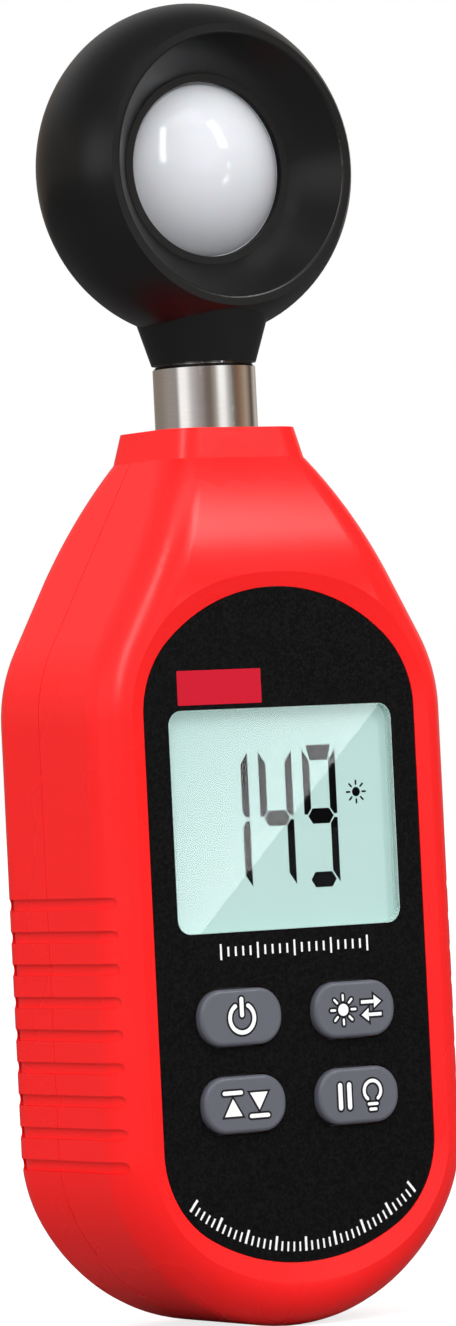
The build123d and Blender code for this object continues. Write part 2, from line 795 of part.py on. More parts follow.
def screw_group(points, seat, shaft_length):
    """Pan head screws driven from the back, their heads resting on the plane behind seat."""
    with BuildPart() as screws:
        with BuildSketch(front_plane(-seat)):
            with Locations(*points):
                Circle(screw_head)
        extrude(amount=-screw_head_high)
        fillet(screws.edges().filter_by(GeomType.CIRCLE).group_by(Axis.Y)[-1], radius=screw_head / 4)
        with BuildSketch(front_plane(-seat)):
            with Locations(*points):
                Circle(screw_radius)
        extrude(amount=shaft_length)
        chamfer(screws.edges().filter_by(GeomType.CIRCLE).group_by(Axis.Y)[0], length=screw_radius / 3)
        with BuildSketch(front_plane(-seat - screw_head_high)):
            with Locations(*points):
                Rectangle(*screw_slot)
                Rectangle(*reversed(screw_slot))
        extrude(amount=screw_head_high / 2, mode=Mode.SUBTRACT)
    return screws


case_screws = screw_group(case_screw_points, screw_seat_y, screw_seat_y - seam_y + case_screw_reach)
finish_piece(case_screws, "case_screws")
board_screws = screw_group(board_screw_points, -board_back, board_thick + board_screw_reach)
finish_piece(board_screws, "board_screws")

# Neck tube: its square flange sits in the neck block
with BuildPart() as neck_tube:
    with BuildSketch(Plane.XY.offset(tube_low)):
        Circle(tube_radius)
    extrude(amount=tube_top - tube_low)
    chamfer(neck_tube.edges().filter_by(GeomType.CIRCLE).group_by(Axis.Z)[-1], length=tube_chamfer)
    with BuildSketch(Plane.XY.offset(flange_low)):
        RectangleRounded(flange_size, flange_size, flange_corner)
    extrude(amount=flange_thick)
    with BuildSketch(Plane.XY.offset(tube_low)):
        Circle(tube_bore)
    extrude(amount=tube_top - tube_low, mode=Mode.SUBTRACT)
finish_piece(neck_tube, "neck_tube")

# Swivel: the spindle turns in the tube with the head; washer and clip hold it from below
spindle_radius = tube_bore - swivel_fit
washer_top = tube_low - washer_gap
washer_low = washer_top - washer_thick
clip_top = washer_low - contact_gap
clip_low = clip_top - clip_thick
tail_low = clip_low - tail_end
groove_bottom = spindle_radius - 2 * o_ring_wire + swivel_fit
spindle_outline = [
    (spindle_bore, tail_low), (tail_radius, tail_low), (tail_radius, clip_low),
    (tail_radius - clip_groove, clip_low), (tail_radius - clip_groove, clip_top), (tail_radius, clip_top),
    (tail_radius, washer_top), (spindle_radius, washer_top),
    (spindle_radius, o_ring_z - o_ring_groove), (groove_bottom, o_ring_z - o_ring_groove),
    (groove_bottom, o_ring_z + o_ring_groove), (spindle_radius, o_ring_z + o_ring_groove),
    (spindle_radius, spindle_flange_low), (spindle_flange, spindle_flange_low),
    (spindle_flange, spindle_flange_low + spindle_flange_thick),
    (spindle_radius, spindle_flange_low + spindle_flange_thick),
    (spindle_radius, spindle_top), (spindle_bore, spindle_top)]
with BuildPart() as swivel_spindle:
    with BuildSketch(Plane.XZ):
        with BuildLine():
            Polyline(*spindle_outline, close=True)
        make_face()
    revolve(axis=Axis.Z)
    # flats on the tail turn the stop washer
    with BuildSketch(Plane.XY.offset(tail_low)):
        for way in (-1, 1):
            with Locations((0, way * (tail_flat + tail_radius))):
                Rectangle(4 * tail_radius, 2 * tail_radius)
    extrude(amount=washer_top - tail_low, mode=Mode.SUBTRACT)
finish_piece(swivel_spindle, "swivel_spindle")

with BuildPart() as stop_washer:
    with BuildSketch(Plane.XY.offset(washer_low)):
        Circle(washer_radius)
        with BuildLine():
            tab = CenterArc((0, 0), stop_tab_reach, -stop_tab_half, 2 * stop_tab_half)
            Polyline(tab @ 1, (0, 0), tab @ 0)
        make_face()
    extrude(amount=washer_thick)
    with BuildSketch(Plane.XY.offset(washer_low)):
        Circle(tail_radius + swivel_fit)
        Rectangle(4 * tail_radius, 2 * (tail_flat + swivel_fit), mode=Mode.INTERSECT)
    extrude(amount=washer_thick, mode=Mode.SUBTRACT)
finish_piece(stop_washer, "stop_washer")

with BuildPart() as retaining_clip:
    with BuildSketch(Plane.XY.offset(clip_low + contact_gap / 2)):
        Circle(clip_radius)
        Circle(tail_radius - clip_groove + contact_gap, mode=Mode.SUBTRACT)
        with Locations((0, -clip_radius)):
            Rectangle(2 * tail_flat, 2 * (clip_radius - clip_groove), mode=Mode.SUBTRACT)
    extrude(amount=clip_thick - contact_gap)
finish_piece(retaining_clip, "retaining_clip")

with BuildPart() as friction_ring:
    with BuildSketch(Plane.XZ):
        with Locations(((tube_bore + groove_bottom) / 2, o_ring_z)):
            Circle((tube_bore - groove_bottom) / 2 - swivel_fit / 4)
    revolve(axis=Axis.Z)
finish_piece(friction_ring, "friction_ring")

# Sensor lead: straight down the spindle, then over to its plug
lead_end = sensor_plug_z + lead_in_plug
with BuildPart() as sensor_lead:
    with BuildLine():
        FilletPolyline((0, 0, lead_end), (0, 0, lead_straight_low), (0, lead_plug_y, lead_bend_low),
                       (0, lead_plug_y, lead_plug_top), radius=list(lead_bends))
    with BuildSketch(Plane((0, 0, lead_end), z_dir=(0, 0, -1))):
        Circle(lead_radius)
    sweep()
finish_piece(sensor_lead, "sensor_lead")


# Sensor head: an ellipsoid with a short round neck, in two shells that meet in its middle plane
head_axis = Axis((0, 0, head_z), (0, 1, 0))


def ellipsoid(inset):
    """Solid of the head's outer shape with its flat back, made smaller all round by inset."""
    with BuildPart() as body:
        with BuildSketch(Plane.YZ):
            with BuildLine():
                arc = EllipticalCenterArc((0, head_z), head_depth - inset, head_radius - inset,
                                          start_angle=0, arc_size=180)
                Line(arc @ 0, arc @ 1)
            make_face()
        revolve(axis=head_axis)
        back = Plane.XZ.offset(inset - half_depth)
        split(bisect_by=back, keep=Keep.TOP)
        fillet(body.faces().sort_by(Axis.Y)[-1].edges(), radius=head_back_round - inset)
    return body.part


def ring_about_head(points):
    """Solid turned about the head's front-to-back axis from (y, radius) points."""
    with BuildPart() as body:
        with BuildSketch(Plane.YZ):
            with BuildLine():
                Polyline(*[(y, head_z + radius) for y, radius in points], close=True)
            make_face()
        revolve(axis=head_axis)
    return body.part


head_solid = ellipsoid(0)
head_cavity = ellipsoid(head_wall)
rib_room = ellipsoid(head_wall / 2)
rim_radius = head_radius * (1 - (head_rim_y / head_depth) ** 2) ** 0.5
rim_inner = rim_radius - rim_width
cone_back = -head_rim_y + cone_depth
cone_slope = (rim_inner - seat_radius) / cone_depth
cone_shift = cone_wall * (1 + cone_slope ** 2) ** 0.5
flange_outer = dome_radius + dome_flange
seat_wall = flange_outer + dome_gap + cone_wall
dome_base = -dome_base_y
dome_back = dome_base + dome_flange_thick
seat_end = dome_back + head_lip_gap

funnel = ring_about_head([
    (-head_rim_y, rim_inner), (-head_rim_y, rim_radius - rim_round / 4),
    (-head_rim_y + cone_wall, rim_radius + rim_round), (-head_rim_y + funnel_root, rim_inner),
    (cone_back - (seat_wall - seat_radius - cone_shift) / cone_slope, seat_wall), (seat_end, seat_wall),
    (seat_end, flange_outer + dome_gap), (dome_base, flange_outer + dome_gap),
    (dome_base, dome_radius + dome_gap), (cone_back, dome_radius + dome_gap), (cone_back, seat_radius)])
funnel_mouth = ring_about_head([
    (-2 * head_rim_y, 0), (-2 * head_rim_y, rim_inner), (-head_rim_y, rim_inner),
    (cone_back, seat_radius), (cone_back, 0)])
neck_slope = (neck_high_radius - neck_low_radius) / (neck_high_z - neck_low_z)
neck_join_z = neck_high_z + head_wall + neck_gap
neck_join_radius = neck_low_radius + neck_slope * (neck_join_z - neck_low_z)

with BuildPart() as head_outer:
    add(head_solid)
    with BuildSketch(Plane.XY.offset(neck_low_z)):
        Circle(neck_low_radius)
    with BuildSketch(Plane.XY.offset(neck_join_z)):
        Circle(neck_join_radius)
    loft()

# Room for the spindle in the neck, open to the head's inside
with BuildPart() as spindle_room:
    with BuildSketch(Plane.XY.offset(neck_low_z)):
        Circle(spindle_radius + neck_gap)
    extrude(amount=neck_join_z - neck_low_z)
    with BuildSketch(Plane.XY.offset(spindle_flange_low - neck_gap)):
        Circle(spindle_flange + neck_gap)
    extrude(amount=spindle_flange_thick + 2 * neck_gap)

head_screw_points = [(sx * head_screw_ring, head_z) for sx in (-1, 1)]
head_lip_radius = head_radius - head_wall / 2 - head_lip_gap
with BuildPart() as head_front_shell:
    add(head_outer.part)
    with BuildSketch(Plane.XZ):
        with Locations((0, head_z)):
            Rectangle(3 * head_radius, 3 * head_radius)
    extrude(amount=head_rim_y, mode=Mode.INTERSECT)
    add(head_cavity, mode=Mode.SUBTRACT)
    add(funnel)
    with BuildSketch(Plane.XZ):
        with Locations(*head_screw_points):
            Circle(head_boss)
    extrude(amount=-cone_back + cone_depth / 2)
    add(funnel_mouth, mode=Mode.SUBTRACT)
    with BuildSketch(Plane.XZ):
        with Locations(*head_screw_points):
            Circle(screw_radius + screw_hole_gap)
    extrude(amount=head_screw_reach + screw_hole_gap, mode=Mode.SUBTRACT)
    # seat for the rear shell's lip
    with BuildSketch(Plane.XZ):
        with Locations((0, head_z)):
            Circle(head_lip_radius + head_lip_gap)
            Circle(head_lip_radius - 2 * head_lip, mode=Mode.SUBTRACT)
        with Locations((0, neck_high_z)):
            Rectangle(2 * neck_high_radius, 2 * head_lip + head_radius / 2, mode=Mode.SUBTRACT)
    extrude(amount=head_lip_long + head_lip_gap, mode=Mode.SUBTRACT)
    add(spindle_room.part, mode=Mode.SUBTRACT)
    rim = head_front_shell.edges().filter_by(GeomType.CIRCLE).group_by(Axis.Y)[0]
    fillet(rim, radius=rim_round)
finish_piece(head_front_shell, "head_front_shell")

rear_boss = screw_head + screw_pass_gap + head_wall / 3
baffle_front = seat_end + contact_gap
baffle_back = baffle_front + baffle_length
sensor_board_back = baffle_back + sensor_board_thick
with BuildPart() as head_rear_ribs:
    with BuildSketch(Plane.XZ):
        with Locations(*head_screw_points):
            Circle(rear_boss)
    extrude(amount=-head_depth)
    # ring that presses the sensor board forwards
    with BuildSketch(Plane.XZ.offset(-sensor_board_back - contact_gap)):
        with Locations((0, head_z)):
            Circle(clamp_ring_radius)
            Circle(clamp_ring_radius - clamp_ring_wall, mode=Mode.SUBTRACT)
    extrude(amount=-head_depth)
    add(rib_room, mode=Mode.INTERSECT)

with BuildPart() as head_rear_shell:
    add(head_outer.part)
    split(bisect_by=Plane.XZ, keep=Keep.BOTTOM)
    add(head_cavity, mode=Mode.SUBTRACT)
    add(head_rear_ribs.part)
    # lip that locates the front shell
    with BuildSketch(Plane.XZ):
        with Locations((0, head_z)):
            Circle(head_lip_radius)
            Circle(head_lip_radius - head_lip, mode=Mode.SUBTRACT)
        with Locations((0, neck_high_z)):
            Rectangle(2 * neck_high_radius + head_lip, 2 * head_lip_long + head_radius / 2,
                      mode=Mode.SUBTRACT)
    extrude(amount=head_lip_long)
    add(spindle_room.part, mode=Mode.SUBTRACT)
    with BuildSketch(Plane.XZ):
        with Locations(*head_screw_points):
            Circle(screw_radius + screw_pass_gap)
    extrude(amount=-head_depth, mode=Mode.SUBTRACT)
    with BuildSketch(Plane.XZ.offset(-head_screw_seat)):
        with Locations(*head_screw_points):
            Circle(screw_head + screw_pass_gap)
    extrude(amount=-head_depth, mode=Mode.SUBTRACT)
finish_piece(head_rear_shell, "head_rear_shell")

head_screws = screw_group(head_screw_points, head_screw_seat, head_screw_seat + head_screw_reach)
finish_piece(head_screws, "head_screws")

# Diffuser: a thin white cap with a flange
dome_ball = (dome_radius ** 2 + dome_height ** 2) / (2 * dome_height)
dome_centre = dome_base - dome_height + dome_ball
dome_turn = degrees(atan2(dome_radius, dome_centre - dome_base))
dome_inner_ball = dome_ball - dome_skin
dome_inner_turn = degrees(atan2((dome_inner_ball ** 2 - (dome_centre - dome_back) ** 2) ** 0.5,
                                dome_centre - dome_back))
with BuildPart() as diffuser_dome:
    with BuildSketch(Plane.YZ):
        with BuildLine():
            cap = CenterArc((dome_centre, head_z), dome_ball, 180, -dome_turn)
            hollow = CenterArc((dome_centre, head_z), dome_inner_ball, 180, -dome_inner_turn)
            Polyline(cap @ 1, (dome_base, head_z + flange_outer), (dome_back, head_z + flange_outer),
                     hollow @ 1)
            Line(cap @ 0, hollow @ 0)
        make_face()
    revolve(axis=head_axis)
finish_piece(diffuser_dome, "diffuser_dome")

# Behind it: baffle, filter, photodiode and their board
baffle_radius = head_screw_ring - rear_boss - baffle_gap
filter_front = baffle_front + filter_depth
filter_bore = filter_radius + dome_gap
baffle_ring = ring_about_head([
    (baffle_front, baffle_mouth), (baffle_front, baffle_radius), (baffle_back, baffle_radius),
    (baffle_back, filter_bore), (filter_front, filter_bore), (filter_front, baffle_bore)])
with BuildPart() as light_baffle:
    add(baffle_ring)
finish_piece(light_baffle, "light_baffle")

with BuildPart() as correction_filter:
    with BuildSketch(Plane.XZ.offset(-filter_front - contact_gap)):
        with Locations((0, head_z)):
            Circle(filter_radius)
    extrude(amount=-filter_thick)
    chamfer(correction_filter.edges(), length=filter_thick / 6)
finish_piece(correction_filter, "correction_filter")

with BuildPart() as photodiode:
    with BuildSketch(Plane.XZ.offset(-baffle_back)):
        with Locations((0, head_z)):
            Circle(diode_radius)
    extrude(amount=diode_height)
    fillet(photodiode.edges().group_by(Axis.Y)[0], radius=diode_height / 5)
    with BuildSketch(Plane.XZ.offset(diode_height - baffle_back)):
        with Locations((0, head_z)):
            Rectangle(diode_radius, diode_radius)
    extrude(amount=-diode_height / 6, mode=Mode.SUBTRACT)
finish_piece(photodiode, "photodiode")

plug_low = sensor_plug_z
with BuildPart() as sensor_board:
    with BuildSketch(Plane.XZ.offset(-baffle_back)):
        with Locations((0, head_z)):
            Circle(sensor_board_radius)
        with Locations((0, (head_z + plug_low) / 2)):
            Rectangle(sensor_tail_width, head_z - plug_low)
    extrude(amount=-sensor_board_thick)
finish_piece(sensor_board, "sensor_board")

with BuildPart() as sensor_plug:
    with BuildSketch(Plane.XY.offset(plug_low)):
        with Locations((0, baffle_back - sensor_plug_size[1] / 2)):
            Rectangle(sensor_plug_size[0], sensor_plug_size[1])
    extrude(amount=sensor_plug_size[2])
    fillet(sensor_plug.edges().filter_by(Axis.Z).group_by(Axis.Y)[0], radius=lead_radius)
    with BuildSketch(Plane.XY.offset(plug_low)):
        Circle(lead_radius + lead_gap)
    extrude(amount=lead_in_plug + lead_gap, mode=Mode.SUBTRACT)
finish_piece(sensor_plug, "sensor_plug")
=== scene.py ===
import math

import bmesh
import bpy
from bpy.props import BoolProperty, FloatProperty, FloatVectorProperty, IntProperty, PointerProperty
from bpy.props import StringProperty
from mathutils import Matrix, Vector


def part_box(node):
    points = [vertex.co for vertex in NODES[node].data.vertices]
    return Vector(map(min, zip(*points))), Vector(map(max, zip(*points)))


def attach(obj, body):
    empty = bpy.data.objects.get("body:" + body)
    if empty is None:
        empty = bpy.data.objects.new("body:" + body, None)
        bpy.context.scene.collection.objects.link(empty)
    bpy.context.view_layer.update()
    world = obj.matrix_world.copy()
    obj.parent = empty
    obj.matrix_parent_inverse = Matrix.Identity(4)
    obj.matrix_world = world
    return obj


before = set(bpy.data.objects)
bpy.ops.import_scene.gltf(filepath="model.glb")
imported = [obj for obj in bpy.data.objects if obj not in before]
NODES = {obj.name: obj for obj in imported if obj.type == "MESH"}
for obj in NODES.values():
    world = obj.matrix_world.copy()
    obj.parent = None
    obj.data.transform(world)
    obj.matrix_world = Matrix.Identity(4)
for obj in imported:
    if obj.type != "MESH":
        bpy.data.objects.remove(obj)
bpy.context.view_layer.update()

bl_info = {
    "name": "Light Meter Finish",
    "version": (1, 0, 0),
    "blender": (4, 5, 0),
    "location": "3D View > Sidebar > Light Meter",
    "description": "Finishes, printing, display and studio for a pocket light meter",
    "category": "Object",
}

MM = 0.001
PRINT_THICK = 0.03      # mm
EDGE_THICK, LEGEND_THICK = 0.02, 0.045      # mm
BEVEL_SHARE = 0.4       # of a print's thickness
KEY_BODIES = {"key_power": "power_key", "key_unit": "unit_key",
              "key_max_min": "max_min_key", "key_hold": "hold_key"}


def middle(node):
    """Centre of a CAD node's box."""
    low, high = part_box(node)
    return (low + high) / 2


# ---------------------------------------------------------------- finishes

class Graph:
    """The shader nodes of a material or a world, with short ways to add and join them."""

    def __init__(self, tree):
        self.tree = tree

    def add(self, kind, **values):
        made = self.tree.nodes.new(kind)
        for name, value in values.items():
            setattr(made, name, value)
        return made

    def feed(self, target, name, value):
        """Link a socket, or set a plain value on the target's own socket."""
        if isinstance(value, bpy.types.NodeSocket):
            self.tree.links.new(value, target.inputs[name])
        else:
            target.inputs[name].default_value = value

    def maths(self, operation, first, second, clamp=False):
        made = self.add("ShaderNodeMath", operation=operation, use_clamp=clamp)
        self.feed(made, 0, first)
        self.feed(made, 1, second)
        return made.outputs[0]

    def along(self, place, way):
        """How far a place lies along a way."""
        made = self.add("ShaderNodeVectorMath", operation="DOT_PRODUCT")
        self.feed(made, 0, place)
        self.feed(made, 1, way)
        return made.outputs["Value"]

    def span(self, factor, low, high, start=0.3, end=0.7):
        """Spread a value's range from start to end, a noise's middle unless given, over low to high."""
        made = self.add("ShaderNodeMapRange")
        self.feed(made, "Value", factor)
        for name, value in (("From Min", start), ("From Max", end), ("To Min", low), ("To Max", high)):
            made.inputs[name].default_value = value
        return made.outputs["Result"]

    def mix(self, factor, first, second):
        made = self.add("ShaderNodeMix", data_type="RGBA")
        self.feed(made, "Factor", factor)
        sockets = [socket for socket in made.inputs if socket.type == "RGBA"]
        for socket, colour in zip(sockets, (first, second)):
            if isinstance(colour, bpy.types.NodeSocket):
                self.tree.links.new(colour, socket)
            else:
                socket.default_value = (*colour[:3], 1)
        return [socket for socket in made.outputs if socket.type == "RGBA"][0]

    def blend(self, factor, first, second):
        """Mix two shaders."""
        made = self.add("ShaderNodeMixShader")
        for index, socket in enumerate((factor, first, second)):
            self.feed(made, index, socket)
        return made.outputs[0]


class Finish(Graph):
    """A material in the making, with its shader and the piece's own coordinates at hand."""

    def __init__(self, name):
        self.material = bpy.data.materials.new(name)
        self.material.use_nodes = True
        super().__init__(self.material.node_tree)
        self.shader = self.tree.nodes["Principled BSDF"]
        self.output = self.tree.nodes["Material Output"]
        self.where = self.add("ShaderNodeTexCoord").outputs["Object"]
        self.normal = None

    def noise(self, size, detail=2.0, stretch=(1, 1, 1)):
        """Noise with features of about this size in metres."""
        place = self.add("ShaderNodeMapping")
        self.feed(place, "Vector", self.where)
        place.inputs["Scale"].default_value = [s / size for s in stretch]
        made = self.add("ShaderNodeTexNoise")
        self.feed(made, "Vector", place.outputs["Vector"])
        made.inputs["Scale"].default_value = 1.0
        made.inputs["Detail"].default_value = detail
        return made.outputs["Fac"]

    def bump(self, height, depth):
        """Raise the surface by this height, on top of any bump that it has."""
        made = self.add("ShaderNodeBump")
        self.feed(made, "Height", height)
        made.inputs["Distance"].default_value = depth
        made.inputs["Strength"].default_value = 1.0
        if self.normal:
            self.feed(made, "Normal", self.normal)
        self.normal = made.outputs["Normal"]
        self.feed(self.shader, "Normal", self.normal)

    def set(self, **values):
        """Set the shader's sockets, named with _ in place of a space."""
        for name, value in values.items():
            self.feed(self.shader, name.replace("_", " "), value)

    def show(self, surface):
        """Put this shader on the surface in place of the first one."""
        self.feed(self.output, "Surface", surface)


def shade_of(colour, amount):
    """The colour made darker or lighter."""
    return tuple(min(1.0, max(0.0, c * amount)) for c in colour[:3])


DRIFT_SIZE = 14 * MM
PATCH_SIZE = 5 * MM
MESH_SIZE = 0.35 * MM
SCUFF_SIZE = 3 * MM


def moulded(name, colour, roughness, grain=0.25 * MM, depth=0.01 * MM, drift=0.05, specular=0.4):
    """Moulded plastic or rubber: colour and gloss that drift slowly, and a fine moulded grain of the
    given size and depth."""
    finish = Finish(name)
    slow = finish.noise(DRIFT_SIZE)
    fine = finish.noise(grain, detail=3.0)
    finish.set(
        Base_Color=finish.mix(slow, shade_of(colour, 1 - drift), shade_of(colour, 1 + drift)),
        Roughness=finish.span(slow, roughness * 0.8, roughness * 1.2, 0, 1),
        Specular_IOR_Level=specular)
    finish.bump(fine, depth)
    return finish


def turned_metal(name, colour, roughness, stretch=(1, 1, 40), line=2.4 * MM, depth=0.004 * MM):
    """Metal with fine tool lines, drawn out by the stretch of each axis, and slightly uneven gloss."""
    finish = Finish(name)
    lines = finish.noise(line, detail=4.0, stretch=stretch)
    patches = finish.noise(PATCH_SIZE)
    finish.set(
        Base_Color=finish.mix(lines, shade_of(colour, 0.9), shade_of(colour, 1.06)),
        Roughness=finish.span(patches, roughness * 0.85, roughness * 1.2),
        Metallic=1.0)
    finish.bump(lines, depth)
    return finish


def printed(name, colour, roughness=0.45, specular=0.15):
    """Screen-printed ink: nearly even, with a faint mottling from the mesh."""
    finish = Finish(name)
    mottle = finish.noise(MESH_SIZE, detail=3.0)
    finish.set(
        Base_Color=finish.mix(mottle, shade_of(colour, 0.93), shade_of(colour, 1.03)),
        Roughness=finish.span(mottle, roughness * 0.9, roughness * 1.1),
        Specular_IOR_Level=specular)
    finish.bump(mottle, 0.004 * MM)
    return finish


def clear(name, tint, roughness):
    """Clear plastic that lets the lamps through to what is behind it. Its IOR is below a real
    plastic's, so that the room's reflection doesn't veil what is behind."""
    finish = Finish(name)
    scuff = finish.noise(SCUFF_SIZE, detail=4.0)
    finish.set(
        Base_Color=finish.mix(scuff, tint, shade_of(tint, 1.02)),
        Roughness=finish.span(scuff, roughness * 0.6, roughness * 1.4),
        Transmission_Weight=1.0, IOR=1.2)
    path = finish.add("ShaderNodeLightPath").outputs
    open_way = finish.add("ShaderNodeBsdfTransparent").outputs[0]
    passing = finish.maths("MAXIMUM", path["Is Shadow Ray"], path["Is Diffuse Ray"])
    finish.show(finish.blend(passing, finish.shader.outputs[0], open_way))
    return finish


def dress(finish, *nodes):
    """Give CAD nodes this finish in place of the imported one."""
    for node in nodes:
        piece = NODES[node]
        piece.data.materials.clear()
        piece.data.materials.append(finish.material)


# ---------------------------------------------------------------- shapes

SHARPEST_MITRE = 0.35


def grow(outline, amount):
    """A closed outline moved outwards by amount, with mitred corners."""
    turn = sum(a[0] * b[1] - b[0] * a[1] for a, b in zip(outline, outline[1:] + outline[:1]))
    way = 1 if turn > 0 else -1
    made = []
    count = len(outline)
    for index in range(count):
        before, here, after = (Vector(outline[(index + step) % count]) for step in (-1, 0, 1))
        first = (here - before).normalized()
        second = (after - here).normalized()
        out_first = Vector((first.y, -first.x)) * way
        out_second = Vector((second.y, -second.x)) * way
        mitre = (out_first + out_second).normalized()
        made.append(tuple(here + mitre * amount / max(SHARPEST_MITRE, mitre.dot(out_first))))
    return made


def ribbon(points, width, cap=6):
    """Outline of a stroke along points, with round ends."""
    half = width / 2
    path = [Vector(p) for p in points]
    sides = ([], [])
    for index, here in enumerate(path):
        before = path[max(0, index - 1)]
        after = path[min(len(path) - 1, index + 1)]
        way = (after - before).normalized()
        across = Vector((-way.y, way.x)) * half
        sides[0].append(here + across)
        sides[1].append(here - across)
    ends = []
    for tip, way in ((path[-1], path[-1] - path[-2]), (path[0], path[0] - path[1])):
        start = math.atan2(way.y, way.x) + math.pi / 2
        ends.append([tip + half * Vector((math.cos(start - math.pi * k / cap),
                                          math.sin(start - math.pi * k / cap)))
                     for k in range(1, cap)])
    made = sides[0] + ends[0] + list(reversed(sides[1])) + ends[1]
    return [tuple(p) for p in made]


def arc(centre, radius, start, end, count=24):
    """Points on an arc, angles in degrees."""
    steps = [math.radians(start + (end - start) * k / count) for k in range(count + 1)]
    return [(centre[0] + radius * math.cos(a), centre[1] + radius * math.sin(a)) for a in steps]


def disc(centre, radius, count=32):
    """Outline of a disc."""
    return arc(centre, radius, 0, 360, count)[:-1]


def shift(outlines, x, z):
    """Outlines moved by x and z."""
    return [[(p[0] + x, p[1] + z) for p in outline] for outline in outlines]


def rounded_box(width, height, corner, count=6):
    """Outline of a box with rounded corners, about the origin."""
    made = []
    for sx, sz, start in ((1, 1, 0), (-1, 1, 90), (-1, -1, 180), (1, -1, 270)):
        centre = (sx * (width / 2 - corner), sz * (height / 2 - corner))
        made += arc(centre, corner, start, start + 90, count)
    return made


def object_from(name, build, finish):
    """Turn a finished build into an object."""
    mesh = bpy.data.meshes.new(name)
    build.to_mesh(mesh)
    build.free()
    mesh.materials.append(finish.material)
    made = bpy.data.objects.new(name, mesh)
    bpy.context.scene.collection.objects.link(made)
    return made


def piece_from(name, build, finish, body):
    """Turn a finished build into a piece that rides with a body of the meter."""
    bmesh.ops.recalc_face_normals(build, faces=build.faces)
    piece = object_from(name, build, finish)
    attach(piece, body)
    return piece


def bridge(build, first, second):
    """Faces between two closed rings with the same number of points."""
    for index in range(len(first)):
        after = (index + 1) % len(first)
        build.faces.new((first[index], first[after], second[after], second[index]))


def relief(name, outlines, back, thickness, finish, body):
    """A piece of thin flat shapes with bevelled edges, which stand on the plane y = back and face
    the user. Sizes in mm."""
    build = bmesh.new()
    bevel = BEVEL_SHARE * thickness
    for outline in outlines:
        levels = ((outline, 0.0), (outline, thickness - bevel), (grow(outline, -bevel), thickness))
        rings = [[build.verts.new((x * MM, (back - level) * MM, z * MM)) for x, z in ring]
                 for ring, level in levels]
        build.faces.new(rings[0])
        build.faces.new(rings[2])
        for lower, upper in zip(rings, rings[1:]):
            bridge(build, lower, upper)
    return piece_from(name, build, finish, body)


def sleeve_between(name, inner, outer, front, back, finish, body):
    """A thin wall between two outlines with the same number of points. Sizes in mm."""
    build = bmesh.new()
    loops = [[build.verts.new((x * MM, y * MM, z * MM)) for x, z in outline]
             for outline, y in ((inner, front), (outer, front), (outer, back), (inner, back))]
    for first, second in zip(loops, loops[1:] + loops[:1]):
        bridge(build, first, second)
    return piece_from(name, build, finish, body)


def turned(name, profile, centre, thickness, finish, body):
    """A skin turned about an upright axis from (radius, z) points, and thickened inwards. Sizes in mm."""
    build = bmesh.new()
    rings = []
    for radius, z in profile:
        circle = disc((centre.x, centre.y), radius, 48)
        rings.append([build.verts.new((x * MM, y * MM, z * MM)) for x, y in circle])
    for lower, upper in zip(rings, rings[1:]):
        bridge(build, lower, upper)
    for face in build.faces:
        face.smooth = True
    piece = piece_from(name, build, finish, body)
    film = piece.modifiers.new("film", "SOLIDIFY")
    film.thickness = thickness * MM
    film.offset = -1
    return piece


# ---------------------------------------------------------------- marks, in mm about their middle

def sun_mark(radius, rays=8):
    """A small sun: a disc and short rays round it."""
    made = [disc((0, 0), radius * 0.42)]
    for k in range(rays):
        turn = 2 * math.pi * k / rays
        way = Vector((math.cos(turn), math.sin(turn)))
        made.append(ribbon([tuple(way * radius * 0.68), tuple(way * radius)], radius * 0.17))
    return made


def triangle(width, height, way=1):
    return [(-width / 2, -way * height / 2), (width / 2, -way * height / 2), (0, way * height / 2)]


def arrow(length, width, way=1):
    """A short arrow that points to the right, or to the left where way is -1."""
    head = [(way * length / 2, 0), (way * (length / 2 - width), width * 0.75),
            (way * (length / 2 - width), -width * 0.75)]
    bar = [(-way * length / 2, -width * 0.2), (way * (length / 2 - width * 0.9), -width * 0.2),
           (way * (length / 2 - width * 0.9), width * 0.2), (-way * length / 2, width * 0.2)]
    return [head, bar]


def power_mark():
    """The usual sign for on and off: an open ring with an upright bar."""
    return [ribbon(arc((0, -0.12), 1.72, 122, 418, 36), 0.52), ribbon([(0, 0.25), (0, 2.15)], 0.56)]


def unit_mark():
    """A sun and two opposed arrows, for the unit of light."""
    return (shift(sun_mark(1.75), -1.75, 0) + shift(arrow(2.9, 1.05, 1), 2.3, 0.78)
            + shift(arrow(2.9, 1.05, -1), 2.3, -0.78))


def max_min_mark():
    """A triangle under a bar and one over a bar, for the highest and lowest value."""
    made = []
    for x, way in ((-1.85, 1), (1.85, -1)):
        made += shift([triangle(2.5, 2.1, way), ribbon([(-1.2, way * 1.75), (1.2, way * 1.75)], 0.5)],
                      x, -0.3 * way)
    return made


def hold_mark():
    """Two upright bars for hold, and a lamp for the display light."""
    bars = [ribbon([(x, -1.35), (x, 1.35)], 0.62) for x in (-2.75, -1.45)]
    bulb = ribbon(arc((1.9, 0.45), 1.2, -52, 232, 30), 0.42)
    base = [ribbon([(1.3, -1.15), (2.5, -1.15)], 0.38), ribbon([(1.5, -1.8), (2.3, -1.8)], 0.38)]
    return bars + [bulb] + base


# lit segments of each figure: a is the top bar, then clockwise to f, and g is the middle bar
LIT = {"0": "abcdef", "1": "bc", "2": "abged", "3": "abgcd", "4": "fgbc", "5": "afgcd",
       "6": "afgedc", "7": "abc", "8": "abcdefg", "9": "abcdfg"}


